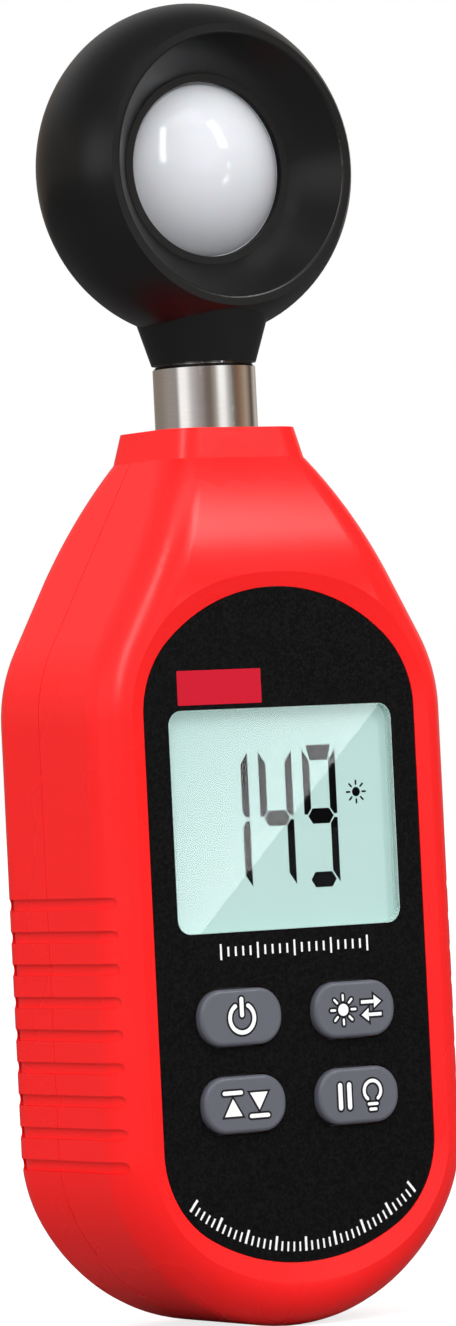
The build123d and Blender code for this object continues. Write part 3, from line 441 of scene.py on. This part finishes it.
def digit_shapes(figure, width, height, upright=1.0, level=1.85, gap=0.26):
    """The lit segments of one figure, from its lower left corner. Upright bars are slim and level
    bars thick, as on a narrow display."""
    half = height / 2
    right = [(width, height - level * 0.3), (width, half + gap), (width - upright * 0.45, half + gap * 0.8),
             (width - upright, half + level / 2), (width - upright, height - level - gap * 0.4)]
    mirrored_x = [(width - x, z) for x, z in right]
    top = [(gap + upright * 0.35, height), (width - gap - upright * 0.35, height),
           (width - upright - gap * 0.5, height - level), (upright + gap * 0.5, height - level)]
    bar = [(upright * 0.55, half), (upright + gap * 0.7, half + level / 2),
           (width - upright - gap * 0.7, half + level / 2), (width - upright * 0.55, half),
           (width - upright - gap * 0.7, half - level / 2), (upright + gap * 0.7, half - level / 2)]
    low_bar = [(x, z - half + level / 2) for x, z in bar]

    def flip(outline):
        return [(x, height - z) for x, z in outline]

    shapes = {"a": top, "b": right, "c": flip(right), "d": low_bar, "e": flip(mirrored_x),
              "f": mirrored_x, "g": bar}
    return [shapes[name] for name in LIT[figure]]


# ---------------------------------------------------------------- settings

def length(name, about, value, low=0.0, high=1.0):
    return FloatProperty(name=name, description=about, default=value, min=low, max=high,
                         unit="LENGTH", subtype="DISTANCE")


def colour(name, about, value):
    return FloatVectorProperty(name=name, description=about, default=value, size=3, min=0.0, max=1.0,
                               subtype="COLOR")


def share(name, about, value):
    return FloatProperty(name=name, description=about, default=value, min=0.0, max=1.0, subtype="FACTOR")


class MeterCaseSettings(bpy.types.PropertyGroup):
    colour: colour("Case Colour", "Colour of the moulded case and battery door", (0.93, 0.0105, 0.0105))
    roughness: share("Case Roughness", "How matt the case is", 0.28)
    grain: length("Case Grain", "Size of the case's fine moulded texture", 0.3 * MM)


class MeterPanelSettings(bpy.types.PropertyGroup):
    colour: colour("Panel Colour", "Colour of the front label", (0.003, 0.003, 0.0032))
    grain: length("Panel Grain", "Size of the label's texture", 0.22 * MM)
    badge_colour: colour("Badge Colour", "Colour of the blank badge", (0.57, 0.004, 0.022))
    badge_width: length("Badge Width", "Width of the blank badge", 11.9 * MM)
    badge_height: length("Badge Height", "Height of the blank badge", 4.15 * MM)
    print_colour: colour("Print Colour", "Colour of the printed scales", (0.9, 0.9, 0.9))
    scale_ticks: IntProperty(name="Scale Ticks", description="Marks on the scale under the display",
                             default=21, min=2, max=60)


class MeterDisplaySettings(bpy.types.PropertyGroup):
    reading: StringProperty(name="Reading", description="Figures that the display shows", default="149")
    glass_colour: colour("Glass Colour", "Colour of the display's ground", (0.317, 0.444, 0.422))
    # the seal's pale colour is a painted highlight: the bright line along the window's edge
    seal_and_highlight_colour: colour("Seal And Highlight Colour", "Colour of the seal round the window", (0.44, 0.60, 0.565))
    # the ground's glow is painted light: it fills the shade that the window's walls cast on the display
    painted_fill_glow: share("Painted Fill Glow", "How brightly the display's ground glows", 0.5)
    figure_colour: colour("Figure Colour", "Colour of the lit segments", (0.002, 0.002, 0.0025))
    figure_height: length("Figure Height", "Height of the figures", 17.2 * MM)
    figure_width: length("Figure Width", "Width of a figure", 4.75 * MM)
    figure_pitch: length("Figure Pitch", "Distance from one figure to the next", 6.3 * MM)


class MeterKeySettings(bpy.types.PropertyGroup):
    colour: colour("Key Colour", "Colour of the key caps", (0.104, 0.109, 0.134))
    legend_colour: colour("Legend Colour", "Colour of the printed signs", (0.96, 0.96, 0.96))
    edge_colour: colour("Edge Colour", "Colour of the line round the signs", (0.012, 0.012, 0.016))
    edge_width: length("Edge Width", "Width of the line round the signs", 0.24 * MM)


class MeterNeckSettings(bpy.types.PropertyGroup):
    colour: colour("Tube Colour", "Colour of the neck tube", (0.86, 0.84, 0.825))
    roughness: share("Tube Roughness", "How matt the neck tube is", 0.13)


class MeterHeadSettings(bpy.types.PropertyGroup):
    colour: colour("Head Colour", "Colour of the sensor head", (0.0052, 0.0052, 0.0053))
    roughness: share("Head Roughness", "How matt the sensor head is", 0.3)
    dome_colour: colour("Dome Colour", "Colour of the diffuser", (0.66, 0.67, 0.705))


class MeterStageSettings(bpy.types.PropertyGroup):
    show_floor: BoolProperty(name="Floor", description="Stand the meter on a pale floor", default=True)
    sky: share("Sky Level", "Strength of the even light from all round", 0.9)
    lens: FloatProperty(name="Lens", description="Focal length of the camera", default=176.92, min=20,
                        max=400, unit="CAMERA")
    azimuth: FloatProperty(name="Azimuth", description="Side from which the camera looks",
                           default=math.radians(-32.6), subtype="ANGLE")
    elevation: FloatProperty(name="Elevation", description="How far the camera looks down",
                             default=math.radians(-1.01), subtype="ANGLE")
    roll: FloatProperty(name="Roll", description="Lean of the camera", default=math.radians(-2.77),
                        subtype="ANGLE")
    distance: length("Distance", "From the camera to the middle of the meter", 795.12 * MM, 0.1, 5.0)


SETTINGS = {"meter_case": MeterCaseSettings, "meter_panel": MeterPanelSettings,
            "meter_display": MeterDisplaySettings, "meter_keys": MeterKeySettings,
            "meter_neck": MeterNeckSettings, "meter_head": MeterHeadSettings,
            "meter_stage": MeterStageSettings}


# ---------------------------------------------------------------- operators

class METER_OT_case(bpy.types.Operator):
    """Finish the two case shells, the battery door and their screws"""
    bl_idname = "meter.case"
    bl_label = "Finish Case"

    def execute(self, context):
        settings = context.scene.meter_case
        red = moulded("case_red_plastic", settings.colour, settings.roughness, settings.grain,
                      depth=0.006 * MM, drift=0.02, specular=0.3)
        dress(red, "front_shell", "rear_shell", "battery_door")
        screw = turned_metal("black_zinc", (0.12, 0.12, 0.125), 0.35, stretch=(1, 1, 1), line=0.6 * MM)
        dress(screw, "case_screws", "board_screws", "head_screws", "retaining_clip")
        return {"FINISHED"}


# printing on the label, in mm: the badge and the level scale are placed from the display window,
# the curved scale from the label's lower edge
BADGE_X, BADGE_ABOVE, BADGE_CORNER, BADGE_THICK = -8.55, 2.75, 0.12, 0.05
SCALE_WIDTH, SCALE_X, SCALE_BELOW = 21.0, 0.4, 2.35
ARC_RADIUS, ARC_ABOVE, ARC_TICKS_EACH_WAY, ARC_PITCH = 25.15, 26.4, 20, 2.0
LONG_EVERY = 5      # one mark in so many is a long one
# height and half width of a long and a short mark
LEVEL_LONG, LEVEL_SHORT = (1.9, 0.13), (1.15, 0.13)
ARC_LONG, ARC_SHORT = (1.7, 0.16), (1.15, 0.12)


class METER_OT_panel(bpy.types.Operator):
    """Finish the front label and print its blank badge and its scales"""
    bl_idname = "meter.panel"
    bl_label = "Finish Front Panel"

    def execute(self, context):
        settings = context.scene.meter_panel
        label = moulded("label_black", settings.colour, 0.5, settings.grain, depth=0.02 * MM,
                        drift=0.25, specular=0.07)
        speckle = label.noise(settings.grain * 1.4, detail=3.0)
        label.set(Base_Color=label.mix(label.span(speckle, 0, 1, 0.4, 0.68),
                                       shade_of(settings.colour, 0.7), shade_of(settings.colour, 2.4)))
        dress(label, "front_panel")
        badge = printed("badge_crimson", settings.badge_colour, 0.4)
        white = printed("print_white", settings.print_colour)
        panel_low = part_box("front_panel")[0] / MM
        face = panel_low.y
        low, high = (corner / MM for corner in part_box("display_window"))
        plate = rounded_box(settings.badge_width / MM, settings.badge_height / MM, BADGE_CORNER, 3)
        relief("badge", shift([plate], BADGE_X, high.z + BADGE_ABOVE), face, BADGE_THICK, badge, "case")
        ticks = shift(self.level_ticks(settings.scale_ticks), (low.x + high.x) / 2 + SCALE_X,
                      low.z - SCALE_BELOW)
        relief("display_scale", ticks, face, PRINT_THICK, white, "case")
        marks = shift(self.curved_ticks(), 0.0, panel_low.z + ARC_ABOVE)
        relief("foot_scale", marks, face, PRINT_THICK, white, "case")
        return {"FINISHED"}

    def level_ticks(self, count):
        """Short upright marks in a row, with a longer one every fifth."""
        made = []
        for k in range(count):
            x = (k / (count - 1) - 0.5) * SCALE_WIDTH
            tall, half = LEVEL_SHORT if k % LONG_EVERY else LEVEL_LONG
            made.append([(x - half, -tall / 2), (x + half, -tall / 2), (x + half, tall / 2),
                         (x - half, tall / 2)])
        return made

    def curved_ticks(self):
        """Marks inside an arc that bulges downwards, with a longer and wider one every fifth."""
        made = []
        for k in range(-ARC_TICKS_EACH_WAY, ARC_TICKS_EACH_WAY + 1):
            turn = math.radians(ARC_PITCH * k)
            tall, half = ARC_SHORT if k % LONG_EVERY else ARC_LONG
            across = Vector((math.cos(turn), math.sin(turn))) * half
            out = Vector((math.sin(turn), -math.cos(turn)))
            made.append([tuple(out * (ARC_RADIUS - inset) + across * side) for inset, side in
                         ((tall, -1), (0, -1), (0, 1), (tall, 1))])
        return made


# in mm: the window's corners and the seal round it, and places from the window's middle
WINDOW_ROUNDING, SEAL_GAP, SEAL_THICK, SEAL_SUNK = 1.75, 0.01, 0.06, 0.02
FIGURES_RIGHT = 8.35
SUN_X, SUN_Z, SUN_RADIUS = 11.2, 2.7, 1.35


class METER_OT_display(bpy.types.Operator):
    """Finish the window and the display glass, and light the display's segments"""
    bl_idname = "meter.display"
    bl_label = "Finish Display"

    def execute(self, context):
        settings = context.scene.meter_display
        dress(clear("window_acrylic", (0.985, 1.0, 0.995), 0.002), "display_window")
        low, high = (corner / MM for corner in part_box("display_window"))
        glass_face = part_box("lcd_glass")[0].y / MM
        self.gasket(settings, low, high, glass_face)
        self.ground(settings)
        ink = printed("display_black", settings.figure_colour, 0.6, 0.0)
        centre = (low + high) / 2
        self.figures(settings, centre, glass_face, ink)
        sun = shift(sun_mark(SUN_RADIUS), centre.x + SUN_X, centre.z + SUN_Z)
        relief("display_sun", sun, glass_face, PRINT_THICK, ink, "case")
        return {"FINISHED"}

    def gasket(self, settings, low, high, back):
        """A seal in the narrow gap round the window, as deep as the window's edge. Its pale colour is a
        painted highlight, the bright line along the window's edge.
        """
        silicone = moulded("seal_painted_highlight", settings.seal_and_highlight_colour, 0.6, 0.2 * MM, specular=0.1)
        size, place = high - low, (low + high) / 2
        faces = [rounded_box(size.x + 2 * out, size.z + 2 * out, rounding) for out, rounding in
                 ((SEAL_GAP, WINDOW_ROUNDING), (SEAL_GAP + SEAL_THICK, WINDOW_ROUNDING + SEAL_THICK))]
        sleeve_between("window_gasket", *shift(faces, place.x, place.z), low.y + SEAL_SUNK, back,
                       silicone, "case")

    def ground(self, settings):
        """The display's pale ground, which glows a little: painted light that fills the shade the window's
        walls cast on it.
        """
        ground = Finish("display_ground")
        haze = ground.noise(9 * MM)
        frosting = ground.noise(0.12 * MM)
        ground.set(Base_Color=ground.mix(haze, shade_of(settings.glass_colour, 0.98),
                                         shade_of(settings.glass_colour, 1.01)),
                   Roughness=ground.span(frosting, 0.4, 0.5), Specular_IOR_Level=0.1,
                   Emission_Color=(*settings.glass_colour, 1), Emission_Strength=settings.painted_fill_glow)
        ground.bump(frosting, 0.002 * MM)
        dress(ground, "lcd_glass")

    def figures(self, settings, centre, face, ink):
        """The reading, set from the right."""
        width, height = settings.figure_width / MM, settings.figure_height / MM
        right_edge = centre.x + FIGURES_RIGHT
        for place, figure in enumerate(reversed(settings.reading)):
            if figure not in LIT:
                raise RuntimeError("the reading may hold only figures")
            left = right_edge - place * settings.figure_pitch / MM - width
            shapes = shift(digit_shapes(figure, width, height), left, centre.z - height / 2)
            relief(f"figure_{place + 1}", shapes, face, PRINT_THICK, ink, "case")


class METER_OT_keys(bpy.types.Operator):
    """Finish the four keys and print their signs"""
    bl_idname = "meter.keys"
    bl_label = "Finish Keys"

    def execute(self, context):
        settings = context.scene.meter_keys
        cap = moulded("key_grey_plastic", settings.colour, 0.38, grain=0.2 * MM, depth=0.006 * MM,
                      drift=0.04, specular=0.5)
        dress(cap, *KEY_BODIES)
        white = printed("legend_white", settings.legend_colour, 0.4)
        edge = printed("legend_edge", settings.edge_colour, 0.5)
        marks = {"key_power": power_mark(), "key_unit": unit_mark(), "key_max_min": max_min_mark(),
                 "key_hold": hold_mark()}
        margin = settings.edge_width / MM
        for node, body in KEY_BODIES.items():
            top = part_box(node)[0].y / MM
            centre = middle(node) / MM
            shapes = shift(marks[node], centre.x, centre.z)
            name = node.replace("key_", "sign_")
            outlines = [grow(shape, margin) for shape in shapes]
            relief(f"{name}_edge", outlines, top, EDGE_THICK, edge, body)
            relief(name, shapes, top, LEGEND_THICK, white, body)
        return {"FINISHED"}


class METER_OT_neck(bpy.types.Operator):
    """Finish the neck tube and the swivel inside it"""
    bl_idname = "meter.neck"
    bl_label = "Finish Neck"

    def execute(self, context):
        settings = context.scene.meter_neck
        tube = turned_metal("tube_steel", settings.colour, settings.roughness, stretch=(1, 1, 30),
                            line=3 * MM, depth=0.003 * MM)
        dress(tube, "neck_tube", "swivel_spindle", "stop_washer")
        dress(moulded("ring_rubber", (0.02, 0.02, 0.021), 0.6), "friction_ring")
        dress(moulded("lead_rubber", (0.015, 0.015, 0.015), 0.55), "sensor_lead")
        return {"FINISHED"}


class METER_OT_head(bpy.types.Operator):
    """Finish the sensor head, its diffuser and what is behind it"""
    bl_idname = "meter.head"
    bl_label = "Finish Sensor Head"

    def execute(self, context):
        settings = context.scene.meter_head
        black = moulded("head_black_plastic", settings.colour, settings.roughness, grain=0.3 * MM,
                        depth=0.006 * MM, drift=0.12, specular=0.42)
        dress(black, "head_front_shell", "head_rear_shell")
        dress(moulded("baffle_black", (0.006, 0.006, 0.006), 0.7), "light_baffle")
        dome = moulded("dome_opal", settings.dome_colour, 0.12, grain=1.2 * MM, depth=0.002 * MM,
                       drift=0.01, specular=0.42)
        dome.set(Subsurface_Weight=0.15, Subsurface_Scale=2 * MM)
        dress(dome, "diffuser_dome")
        dress(clear("filter_glass", (0.45, 0.75, 0.55), 0.03), "correction_filter")
        dress(moulded("diode_black", (0.03, 0.025, 0.03), 0.25, grain=0.5 * MM), "photodiode")
        return {"FINISHED"}


# in mm: the film on the cells, where the sleeve starts from the flat end, where the band starts and
# ends from the tip, and how far both are turned in
FILM_THICK, FILM_STANDS_OFF = 0.05, 0.06
SLEEVE_START, BAND_START, BAND_END, TURNED_IN = 0.15, 9.85, 0.95, 1.2


class METER_OT_inside(bpy.types.Operator):
    """Finish the boards, contacts, cells and the rest of the inside"""
    bl_idname = "meter.inside"
    bl_label = "Finish Inside"

    def execute(self, context):
        board = Finish("solder_mask_green")
        tracks = board.noise(0.9 * MM, detail=0.0, stretch=(1, 1, 5))
        drift = board.noise(12 * MM)
        copper = board.span(tracks, 0, 1, 0.52, 0.56)
        board.set(Base_Color=board.mix(copper, (0.008, 0.1, 0.035), (0.02, 0.2, 0.08)),
                  Roughness=board.span(drift, 0.3, 0.42), Specular_IOR_Level=0.5)
        board.bump(copper, 0.02 * MM)
        dress(board, "main_board", "sensor_board")
        dress(moulded("chip_epoxy", (0.018, 0.018, 0.02), 0.6, grain=0.15 * MM), "controller_chip")
        can = turned_metal("can_nickel", (0.6, 0.6, 0.6), 0.3, stretch=(1, 30, 1), line=3 * MM)
        dress(can, "wireless_module")
        dress(moulded("plug_nylon", (0.72, 0.71, 0.66), 0.45), "lead_plug", "sensor_plug")
        dress(moulded("frame_white", (0.75, 0.75, 0.73), 0.5), "lcd_frame")
        dress(moulded("lamp_body", (0.8, 0.8, 0.76), 0.35), "backlight_lamp")
        dress(clear("guide_acrylic", (0.97, 0.99, 1.0), 0.12), "light_guide")
        dress(moulded("zebra_black", (0.03, 0.03, 0.035), 0.5, grain=0.1 * MM), "zebra_strip")
        dress(moulded("mat_silicone", (0.3, 0.31, 0.33), 0.55), "keypad_mat")
        contact = turned_metal("contact_nickel", (0.66, 0.64, 0.58), 0.28, stretch=(30, 1, 1),
                               line=3 * MM)
        dress(contact, *[f"snap_disc_{k}" for k in (1, 2, 3, 4)],
              *[f"battery_spring_{k}" for k in (1, 2, 3)],
              "contact_low_bridge", "contact_low_end", "contact_high_end", "contact_high_bridge")
        cell_end = turned_metal("cell_can", (0.62, 0.62, 0.6), 0.25, stretch=(1, 1, 10), line=2 * MM)
        dress(cell_end, *[f"battery_cell_{k}" for k in (1, 2, 3)])
        film = Finish("cell_sleeve_film")
        wrinkle = film.noise(6 * MM, stretch=(1, 1, 0.25))
        film.set(Base_Color=film.mix(wrinkle, (0.012, 0.016, 0.03), (0.03, 0.04, 0.07)),
                 Roughness=film.span(wrinkle, 0.22, 0.34), Coat_Weight=0.4, Coat_Roughness=0.1)
        film.bump(wrinkle, 0.02 * MM)
        band_film = moulded("cell_band_film", (0.55, 0.3, 0.06), 0.28, grain=0.5 * MM)
        for number in (1, 2, 3):
            self.wrap_cell(number, film, band_film)
        return {"FINISHED"}

    def wrap_cell(self, number, film, band_film):
        """Shrunk film round a cell, turned in over both ends, with a coloured band at the tip end."""
        low, high = (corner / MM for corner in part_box(f"battery_cell_{number}"))
        centre = (low + high) / 2
        radius = (high.x - low.x) / 2 + FILM_STANDS_OFF
        # the middle cell stands on its tip
        flat, tip, up = (high.z, low.z, -1) if number == 2 else (low.z, high.z, 1)
        start, join, end = flat + up * SLEEVE_START, tip - up * BAND_START, tip - up * BAND_END
        sleeve = [(radius - TURNED_IN, start - up * 0.1), (radius - 0.35, start - up * 0.08),
                  (radius - 0.05, start + up * 0.4), (radius, start + up * 0.8), (radius, join)]
        band = [(radius, join), (radius, end - up * 0.8), (radius - 0.05, end - up * 0.4),
                (radius - 0.35, end + up * 0.06), (radius - TURNED_IN, end + up * 0.08)]
        for name, profile, finish in (("sleeve", sleeve, film), ("band", band, band_film)):
            turned(f"cell_{number}_{name}", profile, centre, FILM_THICK, finish, "case")


# azimuth in degrees and tone of what the meter mirrors near the horizon
FLAGS = ((-180, (0.22, 0.18, 0.15)), (-150, (0.22, 0.19, 0.16)), (-122, (0.30, 0.26, 0.23)),
         (-98, (0.28, 0.26, 0.25)), (-90, (1.0, 1.0, 0.99)), (-76, (0.98, 0.97, 0.96)),
         (-62, (0.52, 0.49, 0.49)), (-45, (0.30, 0.26, 0.25)), (-30, (0.15, 0.12, 0.11)),
         (-20, (0.15, 0.11, 0.09)), (-8, (0.37, 0.34, 0.30)), (1, (1.0, 1.0, 0.99)),
         (11, (1.0, 1.0, 0.99)), (21, (0.50, 0.48, 0.47)), (34, (0.08, 0.065, 0.05)),
         (50, (0.22, 0.12, 0.07)), (72, (0.38, 0.30, 0.23)), (93, (0.06, 0.04, 0.03)),
         (112, (0.5, 0.46, 0.42)), (150, (0.30, 0.26, 0.24)), (180, (0.22, 0.18, 0.15)))


AIM_RIGHT, AIM_HEIGHT = 1.22 * MM, 80.31 * MM    # the point that the camera looks at
WHITE = (1, 1, 1, 1)
MIRRORED_LEVEL = 1.1
FLAGS_FADE = (0.25, 0.55)             # height in the room over which the flags give way
ROOM_DIM, WALL_PALE = 0.08, 0.5       # above them, in front of the meter and behind it
LIGHT_LEAN = (-0.78, -0.1, 0.62)      # where the even light comes from most
EVEN_DIM, EVEN_BRIGHT = 0.38, 1.58
LAMPS_AIM = 110 * MM                  # height that they all point at
# name, azimuth and elevation in degrees, distance, width and height in metres, and radiance
LAMPS = (("left_strip", -39, 31, 0.9, 0.09, 0.62, 13.0),
         ("right_box", 33, 36, 0.9, 0.12, 0.40, 17.0),
         ("high_box", -10, 62, 1.3, 0.9, 0.5, 1.6))
FLOOR_GLOW, FLOOR_REACH = 0.78, 6.0   # reach in metres
CARD_Y = -0.5                         # metres, the card's upright plane in front of the meter
CARD_BRIGHT, CARD_DIM, CARD_FADE = 19.0, 1.6, 42 * MM
# corners of the card as seen in the window, x and z in mm; its sloping edge joins the first two
CARD_CORNERS = ((14.0, 74.1), (-12.7, 48.05), (-34.0, 40.0), (-34.0, 84.0), (14.0, 84.0))


def way_to(azimuth, elevation):
    """Unit vector from the meter towards this azimuth and elevation, in degrees."""
    a, e = math.radians(azimuth), math.radians(elevation)
    return Vector((math.sin(a) * math.cos(e), -math.cos(a) * math.cos(e), math.sin(e)))


class METER_OT_stage(bpy.types.Operator):
    """Set up the floor, the soft studio light and the camera"""
    bl_idname = "meter.stage"
    bl_label = "Set Up Studio"

    def execute(self, context):
        settings = context.scene.meter_stage
        self.camera(context, settings)
        self.sky(context, settings)
        self.lamps(context)
        if settings.show_floor:
            self.floor()
        self.window_card()
        context.scene.view_settings.view_transform = "Standard"
        return {"FINISHED"}

    def camera(self, context, settings):
        azimuth, elevation, roll = settings.azimuth, settings.elevation, settings.roll
        back = way_to(math.degrees(azimuth), math.degrees(elevation))
        right = Vector((math.cos(azimuth), math.sin(azimuth), 0))
        up = back.cross(right)
        across = right * math.cos(roll) + up * math.sin(roll)
        upward = up * math.cos(roll) - right * math.sin(roll)
        aim = Vector((0, 0, AIM_HEIGHT)) + right * AIM_RIGHT
        data = bpy.data.cameras.new("studio_camera")
        data.sensor_width = 36.0
        data.lens = settings.lens
        camera = bpy.data.objects.new("studio_camera", data)
        context.scene.collection.objects.link(camera)
        turn = Matrix((across, upward, back)).transposed().to_4x4()
        self.eye = aim + back * settings.distance
        camera.matrix_world = Matrix.Translation(self.eye) @ turn
        context.scene.camera = camera

    def sky(self, context, settings):
        """White for the camera and straight through the window, studio flags for whatever mirrors,
        and even light for the rest."""
        world = bpy.data.worlds.new("studio_sky")
        context.scene.world = world
        world.use_nodes = True
        world.node_tree.nodes.clear()
        graph = Graph(world.node_tree)
        where = graph.add("ShaderNodeTexCoord").outputs["Generated"]
        even = self.tone(graph, WHITE, self.soft_level(graph, where, settings.sky))
        mirrored = self.tone(graph, self.mirrored_room(graph, where), MIRRORED_LEVEL)
        path = graph.add("ShaderNodeLightPath").outputs
        mirroring = graph.maths("GREATER_THAN", path["Glossy Depth"], 0.5)
        through = graph.maths("SUBTRACT", path["Is Transmission Ray"], mirroring, clamp=True)
        seen = graph.maths("MAXIMUM", path["Is Camera Ray"], through)
        light = graph.blend(mirroring, even, mirrored)
        end = graph.add("ShaderNodeOutputWorld")
        graph.feed(end, "Surface", graph.blend(seen, light, self.tone(graph, WHITE, 1.0)))

    def tone(self, graph, colour, strength):
        made = graph.add("ShaderNodeBackground")
        graph.feed(made, "Color", colour)
        graph.feed(made, "Strength", strength)
        return made.outputs[0]

    def soft_level(self, graph, where, level):
        """Strength of the even light, brightest from above and the left."""
        lean = graph.along(where, LIGHT_LEAN)
        return graph.maths("MULTIPLY", graph.span(lean, EVEN_DIM, EVEN_BRIGHT, -1, 1), level)

    def mirrored_room(self, graph, where):
        """Bright gaps between flags near the horizon, and higher up a pale wall behind the meter and
        a dim room in front of it."""
        split = graph.add("ShaderNodeSeparateXYZ")
        graph.feed(split, "Vector", where)
        x, y, z = (split.outputs[axis] for axis in "XYZ")
        turn = graph.maths("ARCTAN2", x, graph.maths("MULTIPLY", y, -1))
        flags = graph.add("ShaderNodeValToRGB")
        graph.feed(flags, 0, graph.span(turn, 0, 1, -math.pi, math.pi))
        ramp = flags.color_ramp
        while len(ramp.elements) < len(FLAGS):
            ramp.elements.new(0.5)
        for element, (azimuth, tone) in zip(ramp.elements, FLAGS):
            element.position = (azimuth + 180) / 360
            element.color = (*tone, 1)
        wall = graph.span(y, ROOM_DIM, WALL_PALE, 0.35, 0.95)
        return graph.mix(graph.span(z, 0, 1, *FLAGS_FADE), flags.outputs["Color"], wall)

    def lamps(self, context):
        """Two strips in front and a wide box overhead, all aimed at the case's upper end."""
        centre = Vector((0, 0, LAMPS_AIM))
        for name, azimuth, elevation, reach, width, height, radiance in LAMPS:
            data = bpy.data.lights.new(name, "AREA")
            data.shape = "RECTANGLE"
            data.size = width
            data.size_y = height
            data.energy = radiance * math.pi * width * height
            lamp = bpy.data.objects.new(name, data)
            context.scene.collection.objects.link(lamp)
            way = way_to(azimuth, elevation)
            lamp.location = centre + way * reach
            lamp.rotation_mode = "QUATERNION"
            lamp.rotation_quaternion = way.to_track_quat("Z", "Y")

    def floor(self):
        """Pale matt paper, which glows for the camera so that it reads as white round the shadow."""
        paper = Finish("floor_paper")
        matt = paper.add("ShaderNodeBsdfDiffuse")
        paper.feed(matt, "Color", paper.mix(paper.noise(50 * MM), (0.31, 0.31, 0.31), (0.32, 0.32, 0.32)))
        glow = paper.add("ShaderNodeEmission")
        paper.feed(glow, "Strength", FLOOR_GLOW)
        both = paper.add("ShaderNodeAddShader")
        paper.feed(both, 0, matt.outputs[0])
        paper.feed(both, 1, glow.outputs[0])
        path = paper.add("ShaderNodeLightPath").outputs
        seen = paper.maths("MAXIMUM", path["Is Camera Ray"], path["Is Transmission Ray"])
        paper.show(paper.blend(seen, matt.outputs[0], both.outputs[0]))
        paper.tree.nodes.remove(paper.shader)
        build = bmesh.new()
        bmesh.ops.create_grid(build, x_segments=8, y_segments=8, size=FLOOR_REACH)
        object_from("floor", build, paper)

    def window_card(self):
        """A lit card that the window mirrors to the camera, with its edge across the display."""
        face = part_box("display_window")[0].y
        twin = Vector((self.eye.x, 2 * face - self.eye.y, self.eye.z))

        def mirrored(x, z):
            """The card's point that is seen at x and z, in mm, on the window's face."""
            point = Vector((x * MM, face, z * MM))
            return twin + (point - twin) * (CARD_Y - twin.y) / (face - twin.y)

        corners = [mirrored(x, z) for x, z in CARD_CORNERS]
        paint = Finish("card_glow")
        edge = (corners[0] - corners[1]).normalized()
        normal = Vector((edge.z, 0, -edge.x))
        away = normal.dot(corners[0])
        inward = paint.along(paint.where, normal)
        glow = paint.add("ShaderNodeEmission")
        paint.feed(glow, "Strength",
                   paint.span(inward, CARD_BRIGHT, CARD_DIM, away, away - CARD_FADE))
        paint.show(glow.outputs[0])
        paint.tree.nodes.remove(paint.shader)
        build = bmesh.new()
        build.faces.new([build.verts.new(corner) for corner in corners])
        card = object_from("window_card", build, paint)
        card.visible_camera = card.visible_diffuse = card.visible_shadow = False
        card.visible_transmission = False


OPERATORS = (METER_OT_case, METER_OT_panel, METER_OT_display, METER_OT_keys, METER_OT_neck,
             METER_OT_head, METER_OT_inside, METER_OT_stage)


class METER_PT_finish(bpy.types.Panel):
    """Lists the meter's pieces and their sizes and colours"""
    bl_idname = "METER_PT_finish"
    bl_label = "Light Meter"
    bl_space_type = "VIEW_3D"
    bl_region_type = "UI"
    bl_category = "Light Meter"

    def draw(self, context):
        for operator in OPERATORS:
            self.layout.operator(operator.bl_idname)
        for name, group in SETTINGS.items():
            box = self.layout.box()
            settings = getattr(context.scene, name)
            for prop in group.__annotations__:
                box.prop(settings, prop)


def register():
    for name, group in SETTINGS.items():
        bpy.utils.register_class(group)
        setattr(bpy.types.Scene, name, PointerProperty(type=group))
    for item in (*OPERATORS, METER_PT_finish):
        bpy.utils.register_class(item)


def unregister():
    for item in reversed((*OPERATORS, METER_PT_finish)):
        bpy.utils.unregister_class(item)
    for name, group in reversed(list(SETTINGS.items())):
        delattr(bpy.types.Scene, name)
        bpy.utils.unregister_class(group)


def main():
    register()
    for operator in OPERATORS:
        group, action = operator.bl_idname.split(".")
        getattr(getattr(bpy.ops, group), action)()
    bpy.context.view_layer.update()


if __name__ == "__main__":
    main()
